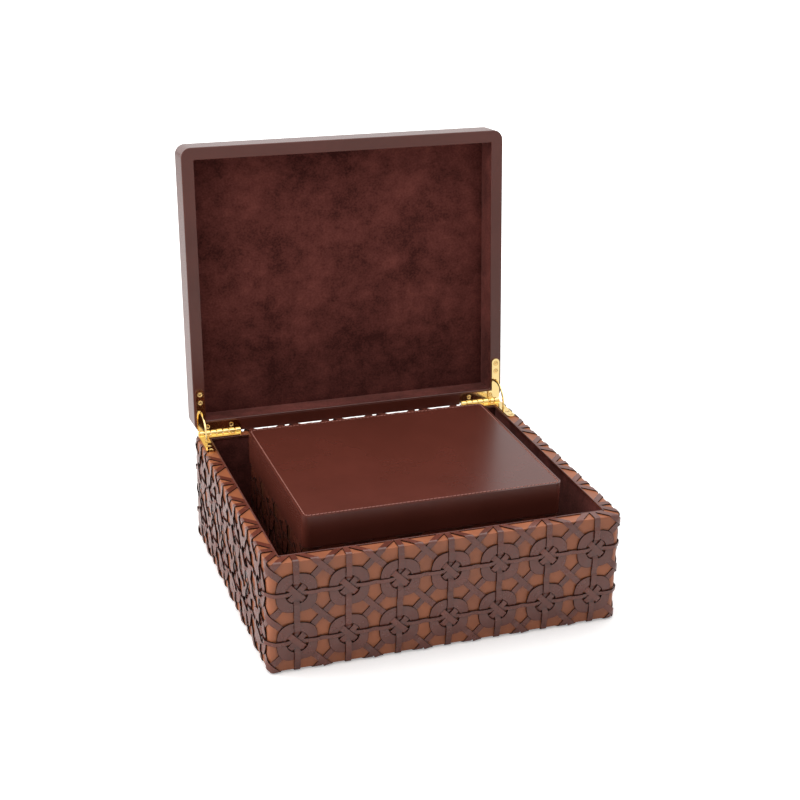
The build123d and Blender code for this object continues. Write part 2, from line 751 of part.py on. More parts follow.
inner_lid_well = (inner_lid_outline[0] - 2 * inner_board, inner_lid_outline[1] - 2 * inner_board)
inner_lid_mouth = (inner_lid_well[0] - 2 * inner_lid_suede, inner_lid_well[1] - 2 * inner_lid_suede)
with BuildPart() as inner_lid_leather_cover:
    with BuildSketch(inner_lid_plane):
        RectangleRounded(inner_width, inner_depth, inner_corner_radius)
    extrude(amount=inner_lid_height)
    chamfer(inner_lid_leather_cover.faces().sort_by(Axis.Z)[-1].edges(), inner_edge_bevel)
    with BuildSketch(inner_lid_plane.offset(inner_leather)):
        add(bevelled_outline(*inner_lid_outline, inner_bevel))
    extrude(amount=inner_lid_height - 2 * inner_leather, mode=Mode.SUBTRACT)
    with BuildSketch(inner_lid_plane):
        Rectangle(*inner_lid_mouth)
    extrude(amount=inner_leather, mode=Mode.SUBTRACT)
inner_lid_leather_cover.part.label = "inner_lid_leather_cover"
export_step(inner_lid_leather_cover.part, "parts/inner_lid_leather_cover.step")

with BuildPart() as inner_lid_top_board:
    with BuildSketch(inner_lid_plane.offset(inner_lid_ceiling)):
        add(bevelled_outline(*inner_lid_outline, inner_bevel))
    extrude(amount=inner_top_board)
inner_lid_top_board.part.label = "inner_lid_top_board"
export_step(inner_lid_top_board.part, "parts/inner_lid_top_board.step")

with BuildPart() as inner_lid_wall_lining:
    with BuildSketch(inner_lid_plane.offset(inner_leather)):
        Rectangle(*inner_lid_well)
        Rectangle(*inner_lid_mouth, mode=Mode.SUBTRACT)
    extrude(amount=inner_lid_ceiling - inner_leather)
inner_lid_wall_lining.part.label = "inner_lid_wall_lining"
export_step(inner_lid_wall_lining.part, "parts/inner_lid_wall_lining.step")

with BuildPart() as inner_lid_panel_lining:
    with BuildSketch(inner_lid_plane.offset(inner_lid_ceiling - inner_lid_suede)):
        Rectangle(*inner_lid_mouth)
    extrude(amount=inner_lid_suede)
inner_lid_panel_lining.part.label = "inner_lid_panel_lining"
export_step(inner_lid_panel_lining.part, "parts/inner_lid_panel_lining.step")
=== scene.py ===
"""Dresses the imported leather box: woven straps, suede linings, brass hinges and calf-covered lids.

Pieces are modelled in millimetres and scaled to the frame's metres when each one is finished.
"""

import logging
import math
from collections.abc import Callable, Sequence
from dataclasses import dataclass
from enum import Enum

import bpy
import numpy as np
from mathutils import Matrix, Vector


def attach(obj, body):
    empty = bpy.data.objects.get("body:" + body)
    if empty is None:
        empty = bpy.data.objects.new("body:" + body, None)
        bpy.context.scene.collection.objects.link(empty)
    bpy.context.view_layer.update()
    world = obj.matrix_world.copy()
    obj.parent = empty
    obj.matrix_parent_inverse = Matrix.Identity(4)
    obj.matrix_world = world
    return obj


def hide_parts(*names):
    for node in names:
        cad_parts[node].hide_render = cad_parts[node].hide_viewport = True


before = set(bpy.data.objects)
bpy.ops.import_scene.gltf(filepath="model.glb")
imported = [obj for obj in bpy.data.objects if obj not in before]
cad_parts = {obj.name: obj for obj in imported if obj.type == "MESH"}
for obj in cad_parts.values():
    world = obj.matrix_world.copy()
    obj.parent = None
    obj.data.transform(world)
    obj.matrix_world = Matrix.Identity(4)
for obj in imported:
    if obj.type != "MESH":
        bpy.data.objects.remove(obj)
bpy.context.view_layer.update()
log = logging.getLogger("box")

METRES = 0.001
LINING_OVERLAP = 1.6  # how much longer a lining is than the opening between the other linings
# Turns a pad from the bench to its place, nap up or nap down
NAP_UP, NAP_DOWN = (Vector((0, 0, z)).to_track_quat("Z", "Y").to_matrix().to_4x4() for z in (1, -1))


class Wall(Enum):
    """The four walls of a box, each with its outward direction."""

    FRONT = (0, -1)
    RIGHT = (1, 0)
    BACK = (0, 1)
    LEFT = (-1, 0)

    @property
    def along(self) -> tuple[int, int]:
        """Direction along the wall, to the right seen from outside."""
        return (-self.value[1], self.value[0])


# ---------------------------------------------------------------------------
# Finishes
# ---------------------------------------------------------------------------


def srgb(hex_code: str) -> tuple[float, float, float, float]:
    """Turns an sRGB hex value to linear colour.

    Args:
        hex_code: Colour such as "#5c2a22".

    Returns:
        Linear red, green, blue and an alpha of one.
    """
    channels = [int(hex_code[i : i + 2], 16) / 255 for i in (1, 3, 5)]
    linear = [c / 12.92 if c <= 0.04045 else ((c + 0.055) / 1.055) ** 2.4 for c in channels]
    return (linear[0], linear[1], linear[2], 1.0)


def add_node(tree: bpy.types.NodeTree, kind: str, inputs: dict | None = None, **settings: object) -> bpy.types.Node:
    """Adds a node with its settings, values and links.

    Args:
        tree: Node tree that gets the node.
        kind: Node type.
        inputs: Socket name or number to a value, or to the output socket that feeds it.
        settings: Properties of the node.

    Returns:
        The new node.
    """
    node = tree.nodes.new(kind)
    for name, value in settings.items():
        setattr(node, name, value)
    for key, value in (inputs or {}).items():
        if isinstance(value, bpy.types.NodeSocket):
            tree.links.new(value, node.inputs[key])
        else:
            node.inputs[key].default_value = value
    return node


def per_metre(millimetres: float) -> float:
    """Texture scale that gives a feature of this size."""
    return 1.0 / (millimetres * METRES)


def new_material(name: str) -> tuple[bpy.types.Material, bpy.types.NodeTree, bpy.types.Node]:
    """Starts a material.

    Args:
        name: Name of the finish.

    Returns:
        The material, its node tree and its shader node.
    """
    material = bpy.data.materials.new(name)
    material.use_nodes = True
    tree = material.node_tree
    shader = next(node for node in tree.nodes if node.type == "BSDF_PRINCIPLED")
    return material, tree, shader


@dataclass(frozen=True)
class Calf:
    """Chrome-tanned calf, plated smooth: an even colour, fine pores and a satin glaze that mirrors at a low angle."""

    name: str
    light: str
    dark: str
    roughness: tuple[float, float]
    cloud: float = 45.0  # size of the soft shading, in millimetres
    pore: float = 0.9  # real pores are 0.2 mm; drawn coarser so that they show
    relief: float = 0.00004  # nothing for leather that is plated glass-smooth
    specular: float = 0.5
    tone_share: float = 0.0  # how far each strap's own tone shifts the colour

    def material(self) -> bpy.types.Material:
        """Makes the leather.

        Returns:
            Its material.
        """
        material, tree, shader = new_material(self.name)
        place = add_node(tree, "ShaderNodeTexCoord").outputs["Object"]
        soft = {"Vector": place, "Scale": per_metre(self.cloud), "Detail": 4.0, "Roughness": 0.6}
        cloud = add_node(tree, "ShaderNodeTexNoise", soft).outputs["Fac"]
        spread = {"Value": cloud, "From Min": 0.3, "From Max": 0.7}
        share = add_node(tree, "ShaderNodeMapRange", spread).outputs["Result"]
        if self.tone_share:
            tone = add_node(tree, "ShaderNodeAttribute", attribute_name="tone").outputs["Fac"]
            both = {"Factor": self.tone_share, "A": share, "B": tone}
            share = add_node(tree, "ShaderNodeMix", both, data_type="FLOAT").outputs["Result"]
        dyes = {0: share, 6: srgb(self.dark), 7: srgb(self.light)}
        colour = add_node(tree, "ShaderNodeMix", dyes, data_type="RGBA").outputs[2]
        tree.links.new(colour, shader.inputs["Base Color"])
        if self.relief:
            fine = {"Vector": place, "Scale": per_metre(self.pore), "Detail": 2.0}
            pores = add_node(tree, "ShaderNodeTexNoise", fine).outputs["Fac"]
            coarse = {"Vector": place, "Scale": per_metre(6 * self.pore), "Detail": 6.0, "Roughness": 0.7}
            creases = add_node(tree, "ShaderNodeTexNoise", coarse).outputs["Fac"]
            grain = add_node(tree, "ShaderNodeMath", {0: pores, 1: creases}, operation="ADD").outputs[0]
            bump = add_node(tree, "ShaderNodeBump", {"Height": grain, "Strength": 0.5, "Distance": self.relief})
            tree.links.new(bump.outputs["Normal"], shader.inputs["Normal"])
        low, high = self.roughness
        shader.inputs["Roughness"].default_value = low
        if high > low:
            span = {"Value": cloud, "From Min": 0.35, "From Max": 0.65, "To Min": low, "To Max": high}
            gloss = add_node(tree, "ShaderNodeMapRange", span)
            tree.links.new(gloss.outputs["Result"], shader.inputs["Roughness"])
        shader.inputs["Specular IOR Level"].default_value = self.specular
        return material


@dataclass(frozen=True)
class Suede:
    """Split leather buffed to a nap: matt, clouded where the nap has been stroked, with a soft sheen at its edges."""

    name: str
    light: str
    dark: str
    stroke: float = 42.0  # size of the stroked patches
    patch: float = 9.0  # size of the rubbed marks in them
    fibre: float = 1.5  # real fibres are 0.05 mm; drawn coarser so that they show

    def material(self) -> bpy.types.Material:
        """Makes the suede.

        Returns:
            Its material.
        """
        material, tree, shader = new_material(self.name)
        place = add_node(tree, "ShaderNodeTexCoord").outputs["Object"]
        brushed = add_node(tree, "ShaderNodeMapping", {"Vector": place, "Scale": (0.8, 1.0, 0.9)}).outputs["Vector"]
        layers = []
        for size, detail in ((self.stroke, 3.0), (self.patch, 4.0), (self.fibre, 2.0)):
            noise = {"Vector": brushed, "Scale": per_metre(size), "Detail": detail}
            noise |= {"Roughness": 0.5, "Distortion": 0.2}
            layers.append(add_node(tree, "ShaderNodeTexNoise", noise).outputs["Fac"])
        strokes, marks, fibres = layers
        both = {"Factor": 0.36, "A": strokes, "B": marks}
        nap = add_node(tree, "ShaderNodeMix", both, data_type="FLOAT").outputs["Result"]
        both = {"Factor": 0.28, "A": nap, "B": fibres}
        nap = add_node(tree, "ShaderNodeMix", both, data_type="FLOAT").outputs["Result"]
        spread = {"Value": nap, "From Min": 0.385, "From Max": 0.635}
        share = add_node(tree, "ShaderNodeMapRange", spread).outputs["Result"]
        dyes = {0: share, 6: srgb(self.dark), 7: srgb(self.light)}
        colour = add_node(tree, "ShaderNodeMix", dyes, data_type="RGBA").outputs[2]
        bump = add_node(tree, "ShaderNodeBump", {"Height": fibres, "Strength": 0.6, "Distance": 0.00025})
        tree.links.new(colour, shader.inputs["Base Color"])
        tree.links.new(bump.outputs["Normal"], shader.inputs["Normal"])
        shader.inputs["Roughness"].default_value = 0.95
        shader.inputs["Specular IOR Level"].default_value = 0.1
        shader.inputs["Sheen Weight"].default_value = 0.35
        shader.inputs["Sheen Roughness"].default_value = 0.5
        shader.inputs["Sheen Tint"].default_value = srgb("#c98f85")
        return material


@dataclass(frozen=True)
class Brass:
    """Polished brass: a yellow mirror with a trace of the buffing wheel in its gloss."""

    name: str
    colour: str
    roughness: tuple[float, float]
    buffing: float = 2.5  # real marks are 0.05 mm; drawn coarser so that they show

    def material(self) -> bpy.types.Material:
        """Makes the brass.

        Returns:
            Its material.
        """
        material, tree, shader = new_material(self.name)
        place = add_node(tree, "ShaderNodeTexCoord").outputs["Object"]
        across = add_node(tree, "ShaderNodeMapping", {"Vector": place, "Scale": (1.0, 6.0, 6.0)}).outputs["Vector"]
        noise = {"Vector": across, "Scale": per_metre(self.buffing), "Detail": 5.0, "Roughness": 0.7}
        marks = add_node(tree, "ShaderNodeTexNoise", noise).outputs["Fac"]
        low, high = self.roughness
        span = {"Value": marks, "From Min": 0.3, "From Max": 0.7, "To Min": low, "To Max": high}
        gloss = add_node(tree, "ShaderNodeMapRange", span).outputs["Result"]
        bump = add_node(tree, "ShaderNodeBump", {"Height": marks, "Strength": 0.15, "Distance": 0.00003})
        tree.links.new(gloss, shader.inputs["Roughness"])
        tree.links.new(bump.outputs["Normal"], shader.inputs["Normal"])
        shader.inputs["Base Color"].default_value = srgb(self.colour)
        shader.inputs["Metallic"].default_value = 1.0
        return material


@dataclass(frozen=True)
class Fibre:
    """Pressed or spun fibre, for felt, hidden board and thread: matt, flecked and slightly rough."""

    name: str
    light: str
    dark: str
    fleck: float  # size of the flecks, in millimetres
    relief: float

    def material(self) -> bpy.types.Material:
        """Makes the felt, board or thread.

        Returns:
            Its material.
        """
        material, tree, shader = new_material(self.name)
        place = add_node(tree, "ShaderNodeTexCoord").outputs["Object"]
        noise = {"Vector": place, "Scale": per_metre(self.fleck), "Detail": 6.0, "Roughness": 0.75, "Distortion": 0.8}
        flecks = add_node(tree, "ShaderNodeTexNoise", noise).outputs["Fac"]
        spread = {"Value": flecks, "From Min": 0.35, "From Max": 0.65}
        share = add_node(tree, "ShaderNodeMapRange", spread).outputs["Result"]
        dyes = {0: share, 6: srgb(self.dark), 7: srgb(self.light)}
        colour = add_node(tree, "ShaderNodeMix", dyes, data_type="RGBA").outputs[2]
        bump = add_node(tree, "ShaderNodeBump", {"Height": flecks, "Strength": 0.6, "Distance": self.relief})
        tree.links.new(colour, shader.inputs["Base Color"])
        tree.links.new(bump.outputs["Normal"], shader.inputs["Normal"])
        shader.inputs["Roughness"].default_value = 0.9
        return material


# Hide plated smooth under heat: an even warm tan with a satin glaze and pores that only just show
tan_calf = Calf(
    "plated tan calf", "#ac643f", "#935436", (0.34, 0.46), cloud=30.0, relief=0.00005, specular=0.45
).material()
# Waxed and rubbed by hand: glossier than the tan, greyed where it mirrors, no two straps quite one tone
strap_calf = Calf(
    "waxed brown calf strap", "#733a2b", "#5d2e23", (0.2, 0.3), cloud=18.0, specular=0.65, tone_share=0.6
).material()
# Cut, dyed and burnished: a nearly black matt line along each strap, kept this dark also as painted shade of the gaps
# where the straps stand off the leather
strap_edge_and_shade = Calf(
    "burnished strap edge", "#2b130f", "#180a07", (0.6, 0.75), cloud=8.0, specular=0.15
).material()
# Plated glass-smooth: deep red-brown with one even gloss that mirrors what stands over it
lid_calf = Calf(
    "plated dark calf", "#622f25", "#56281e", (0.25, 0.25), cloud=70.0, relief=0.0, specular=0.55
).material()
# Pared thin and rolled over a cord: a little paler and duller than the lid leather
piping_calf = Calf("skived calf piping", "#83483a", "#5d2f26", (0.35, 0.45), cloud=12.0).material()
# The tan hide darkened as painted shade: dark and brown, standing in for the shade in the well where the inner box
# lies
shade_darkened_calf = Calf(
    "stained tan calf", "#6e3d28", "#4d2819", (0.34, 0.46), cloud=30.0, relief=0.00005
).material()
# Split and buffed to a nap: matt oxblood with soft clouds where a hand has stroked it
lining_suede = Suede("buffed split suede", "#7c423b", "#3f1a17").material()
# Stamped and polished: a bright yellow mirror
hinge_brass = Brass("polished brass", "#f6da98", (0.05, 0.13)).material()
# Turned from bar: duller and deeper yellow than the leaf it sits in
screw_brass = Brass("turned brass screw", "#e8c482", (0.12, 0.22)).material()
# Spun and waxed: small pale dashes along the lid's edge
saddle_thread = Fibre("waxed linen thread", "#c28a7c", "#a4695c", 0.5, 0.00008).material()
# Pressed wool: dark, matt and faintly flecked
base_felt = Fibre("pressed wool felt", "#3a221e", "#22110f", 1.6, 0.0002).material()
# Pressed wood fibre: pale flecked board, hidden under leather and suede
raw_board = Fibre("pressed fibre board", "#b39370", "#8c7050", 3.0, 0.00005).material()


# ---------------------------------------------------------------------------
# Modelling steps
# ---------------------------------------------------------------------------


def deselect() -> None:
    """Leaves nothing selected."""
    if bpy.context.object and bpy.context.object.mode != "OBJECT":
        bpy.ops.object.mode_set(mode="OBJECT")
    bpy.ops.object.select_all(action="DESELECT")


def choose(piece: bpy.types.Object) -> None:
    """Selects one piece alone and makes it active.

    Args:
        piece: The piece.
    """
    deselect()
    piece.select_set(True)
    bpy.context.view_layer.objects.active = piece


def added(name: str, size: Sequence[float] = (1, 1, 1)) -> bpy.types.Object:
    """Names the primitive that was just added and gives it its size.

    Args:
        name: Name of the piece.
        size: Scale along X, Y and Z, applied to the mesh.

    Returns:
        The piece.
    """
    piece = bpy.context.object
    piece.name = name
    piece.data.name = name
    piece.scale = size
    bpy.ops.object.transform_apply(location=True, rotation=True, scale=True)
    return piece


def coordinates(piece: bpy.types.Object) -> np.ndarray:
    """Reads where a piece's vertices are.

    Args:
        piece: The piece.

    Returns:
        Their positions, one row each.
    """
    values = np.empty(len(piece.data.vertices) * 3, np.float32)
    piece.data.vertices.foreach_get("co", values)
    return values.reshape(-1, 3).astype(float)


def reshape(piece: bpy.types.Object, change: Callable[[np.ndarray], np.ndarray]) -> None:
    """Moves all vertices of a piece at once.

    Args:
        piece: The mesh to bend or crown.
        change: Takes the positions, one row each, and returns the new ones.
    """
    piece.data.vertices.foreach_set("co", change(coordinates(piece)).astype(np.float32).ravel())
    piece.data.update()


def modify(piece: bpy.types.Object, kind: str, **settings: object) -> None:
    """Adds a modifier and applies it.

    Args:
        piece: The piece that it shapes.
        kind: Type of modifier.
        settings: Its properties.
    """
    choose(piece)
    modifier = piece.modifiers.new(kind.title(), kind)
    for name, value in settings.items():
        setattr(modifier, name, value)
    bpy.ops.object.modifier_apply(modifier=modifier.name)


def pick(piece: bpy.types.Object, faces: bool, test: Callable[[Vector, Vector], bool]) -> None:
    """Selects faces or edges in edit mode by place and direction.

    Args:
        piece: The piece, left in edit mode.
        faces: Picks faces if true, and edges otherwise.
        test: Takes a middle point and a normal or an edge direction, and says whether to pick it.
    """
    choose(piece)
    bpy.ops.object.mode_set(mode="EDIT")
    bpy.ops.mesh.select_mode(type="FACE" if faces else "EDGE")
    bpy.ops.mesh.select_all(action="DESELECT")
    bpy.ops.object.mode_set(mode="OBJECT")
    mesh = piece.data
    if faces:
        for polygon in mesh.polygons:
            polygon.select = test(polygon.center, polygon.normal)
    else:
        for edge in mesh.edges:
            a, b = (mesh.vertices[i].co for i in edge.vertices)
            edge.select = test((a + b) / 2, (b - a).normalized())
    bpy.ops.object.mode_set(mode="EDIT")


def block(
    name: str, size: Sequence[float], centre: Sequence[float], corner: float = 0.0, steps: int = 8
) -> bpy.types.Object:
    """A block whose upright edges are rounded.

    Args:
        name: Name of the piece.
        size: Its width, depth and height.
        centre: Its middle.
        corner: Radius of the upright edges.
        steps: Faces round each corner.

    Returns:
        The block.
    """
    deselect()
    bpy.ops.mesh.primitive_cube_add(size=1, location=centre)
    piece = added(name, size)
    if corner:
        pick(piece, False, lambda middle, direction: abs(direction.z) > 0.9)
        bpy.ops.mesh.bevel(offset=corner, segments=steps, affect="EDGES")
        bpy.ops.object.mode_set(mode="OBJECT")
    return piece


def cut(piece: bpy.types.Object, cutter: bpy.types.Object) -> None:
    """Takes a cutter's shape out of a piece and removes the cutter."""
    modify(piece, "BOOLEAN", operation="DIFFERENCE", solver="EXACT", object=cutter)
    bpy.data.objects.remove(cutter)


def close_holes(piece: bpy.types.Object) -> None:
    """Fills the open ends of a piece and turns its faces outward.

    Args:
        piece: The piece.
    """
    choose(piece)
    bpy.ops.object.mode_set(mode="EDIT")
    bpy.ops.mesh.select_mode(type="EDGE")
    bpy.ops.mesh.select_all(action="DESELECT")
    bpy.ops.mesh.select_non_manifold()
    bpy.ops.mesh.edge_face_add()
    bpy.ops.mesh.select_all(action="SELECT")
    bpy.ops.mesh.normals_make_consistent(inside=False)
    bpy.ops.object.mode_set(mode="OBJECT")


def join(pieces: Sequence[bpy.types.Object], name: str) -> bpy.types.Object:
    """Joins pieces into one.

    Args:
        pieces: The pieces.
        name: Name of the result.

    Returns:
        The joined piece.
    """
    choose(pieces[0])
    for piece in pieces[1:]:
        piece.select_set(True)
    bpy.ops.object.join()
    pieces[0].name = name
    return pieces[0]


def swung_open(angle: float) -> Matrix:
    """Turns a shut lid back about the pin.

    Args:
        angle: How far, in degrees.

    Returns:
        The turn.
    """
    return Matrix.Rotation(-math.radians(angle), 4, "X")


def copy_of(piece: bpy.types.Object) -> bpy.types.Object:
    """Copies a piece.

    Args:
        piece: The piece.

    Returns:
        Its twin, with a mesh of its own.
    """
    twin = piece.copy()
    twin.data = piece.data.copy()
    bpy.context.scene.collection.objects.link(twin)
    return twin


def soften(piece: bpy.types.Object, radius: float, steps: int = 3, angle: float = 40.0) -> None:
    """Rounds the sharp edges of a piece.

    Args:
        piece: The piece.
        radius: Width of the rounding.
        steps: Faces across it.
        angle: Edges sharper than this are rounded, in degrees.
    """
    limit = math.radians(angle)
    modify(piece, "BEVEL", width=radius, segments=steps, limit_method="ANGLE", angle_limit=limit)


def finish_piece(
    piece: bpy.types.Object,
    body: str,
    finishes: Sequence[bpy.types.Material],
    nodes: Sequence[str] = (),
    place: Matrix | None = None,
    smooth: float = 35.0,
    flat_faces: bool = False,
) -> bpy.types.Object:
    """Puts a finished piece in the frame: metres, material, body and the solids that it stands for.

    Args:
        piece: The piece, in millimetres.
        body: Body that it rides on.
        finishes: Its materials.
        nodes: CAD nodes that it replaces.
        place: Turns and moves the piece first, in millimetres.
        smooth: Edges flatter than this angle are shaded smooth.
        flat_faces: Keeps large flat faces flat between their rounded edges.

    Returns:
        The piece.
    """
    if place is not None:
        piece.data.transform(place)
    piece.data.transform(Matrix.Scale(METRES, 4))
    shares = np.zeros(len(piece.data.polygons), np.int32)
    piece.data.polygons.foreach_get("material_index", shares)
    piece.data.materials.clear()
    for finish in finishes:
        piece.data.materials.append(finish)
    piece.data.polygons.foreach_set("material_index", np.minimum(shares, len(finishes) - 1))
    choose(piece)
    bpy.ops.object.shade_smooth_by_angle(angle=math.radians(smooth))
    if flat_faces:
        modify(piece, "WEIGHTED_NORMAL", keep_sharp=True, weight=100)
    deselect()
    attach(piece, body)
    if nodes:
        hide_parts(*nodes)
    log.info("%s: %d faces on %s", piece.name, len(piece.data.polygons), body)
    return piece


def bead(
    name: str, width: float, depth: float, middle_y: float, corner: float, z: float, radius: float
) -> bpy.types.Object:
    """A cord covered in thin leather, run round a box.

    Args:
        name: Name of the piece.
        width: Width between the middles of its runs.
        depth: Depth between the middles of its runs.
        middle_y: Middle of the box from front to back.
        corner: Radius of its corners.
        z: Height of its middle.
        radius: Half its thickness.

    Returns:
        The bead.
    """
    piece = block(name, (width, depth, 1), (0, middle_y, z), corner, 6)
    pick(piece, True, lambda m, n: abs(n.z) > 0.9)
    bpy.ops.mesh.delete(type="ONLY_FACE")
    bpy.ops.object.mode_set(mode="OBJECT")
    reshape(piece, lambda p: np.column_stack([p[:, 0], p[:, 1], z + np.sign(p[:, 2] - z) * radius * 0.7]))
    modify(piece, "SOLIDIFY", thickness=1.4 * radius, offset=0.0, use_even_offset=True)
    modify(piece, "BEVEL", width=0.42 * radius, segments=3, limit_method="ANGLE", angle_limit=math.radians(60))
    return piece


def lining_pad(name: str, size: Sequence[float], crown: float) -> bpy.types.Object:
    """A suede pad that lies nap up: flat behind, softly crowned and rolled at its edges in front.

    Args:
        name: Name of the piece.
        size: Length, width and thickness.
        crown: How far the nap sinks towards the edges.

    Returns:
        The pad, with the middle of its back at the origin.
    """
    length, width, thickness = size
    deselect()
    bpy.ops.mesh.primitive_grid_add(
        x_subdivisions=max(8, int(length / 6)), y_subdivisions=max(6, int(width / 6)), size=1, location=(0, 0, 0)
    )
    pad = added(name, (length, width, 1))

    def crowned(points: np.ndarray) -> np.ndarray:
        """Sinks the face towards its edges, and ripples it a little as hand-laid suede does.

        Args:
            points: The pad's points.

        Returns:
            The same points, crowned.
        """
        inward = np.minimum(length / 2 - np.abs(points[:, 0]), width / 2 - np.abs(points[:, 1]))
        ripple = 0.08 * np.sin(points[:, 0] / 23.0) * np.cos(points[:, 1] / 17.0) * np.clip(inward / 10, 0, 1)
        points[:, 2] = thickness - crown * np.exp(-np.maximum(inward, 0) / 4.0) + ripple - 0.08
        return points

    reshape(pad, crowned)
    pick(pad, False, lambda m, d: abs(abs(m.x) - length / 2) < 0.01 or abs(abs(m.y) - width / 2) < 0.01)
    bpy.ops.mesh.extrude_region_move(TRANSFORM_OT_translate={"value": (0, 0, -1)})
    bpy.ops.object.mode_set(mode="OBJECT")
    points = coordinates(pad)
    rim = np.maximum(np.abs(points[:, 0]) - length / 2, np.abs(points[:, 1]) - width / 2) > -0.01
    foot = rim & (points[:, 2] < thickness - crown - 0.5)

    def to_back(points: np.ndarray) -> np.ndarray:
        """Brings the extruded edge down to the board."""
        points[foot, 2] = 0
        return points

    reshape(pad, to_back)
    close_holes(pad)
    soften(pad, min(0.5, thickness * 0.3), 3, 60)
    return pad


def lay_suede(
    pad: bpy.types.Object, turn: Matrix, body: str, nodes: Sequence[str], place: Matrix | None = None
) -> None:
    """Glues a suede pad in its place and finishes it.

    Args:
        pad: The pad.
        turn: Takes it from the bench to its board.
        body: Body that it rides on.
        nodes: CAD nodes that it replaces.
        place: Takes the whole sub-assembly to where it rests.
    """
    pad.data.transform(turn)
    finish_piece(pad, body, (lining_suede,), nodes, place)


def line_walls(
    body: str, mouth: Sequence[float], low: float, high: float, thickness: float, place: Matrix | None = None
) -> None:
    """Lays suede pads on the four walls of a recess, which stand for one CAD lining.

    Args:
        body: Body that they ride on.
        mouth: Width and depth that the pads leave open between them.
        low: Height of their lower edges.
        high: Height of their upper edges.
        thickness: Thickness of the pads.
        place: Takes the whole sub-assembly to where it rests.
    """
    for wall in Wall:
        x, y = wall.value
        length = (mouth[0] if y else mouth[1]) + LINING_OVERLAP
        pad = lining_pad(f"{body}_lining_{wall.name.lower()}", (length, high - low, thickness), 0.5)
        back = (x * (mouth[0] / 2 + thickness), y * (mouth[1] / 2 + thickness), (low + high) / 2)
        stand = Matrix(((-y, 0, -x, 0), (x, 0, -y, 0), (0, 1, 0, 0), (0, 0, 0, 1)))
        nodes = (f"{body}_wall_lining",) if wall is Wall.FRONT else ()
        lay_suede(pad, Matrix.Translation(back) @ stand @ NAP_UP, body, nodes, place)


# ---------------------------------------------------------------------------
# Woven straps
# ---------------------------------------------------------------------------


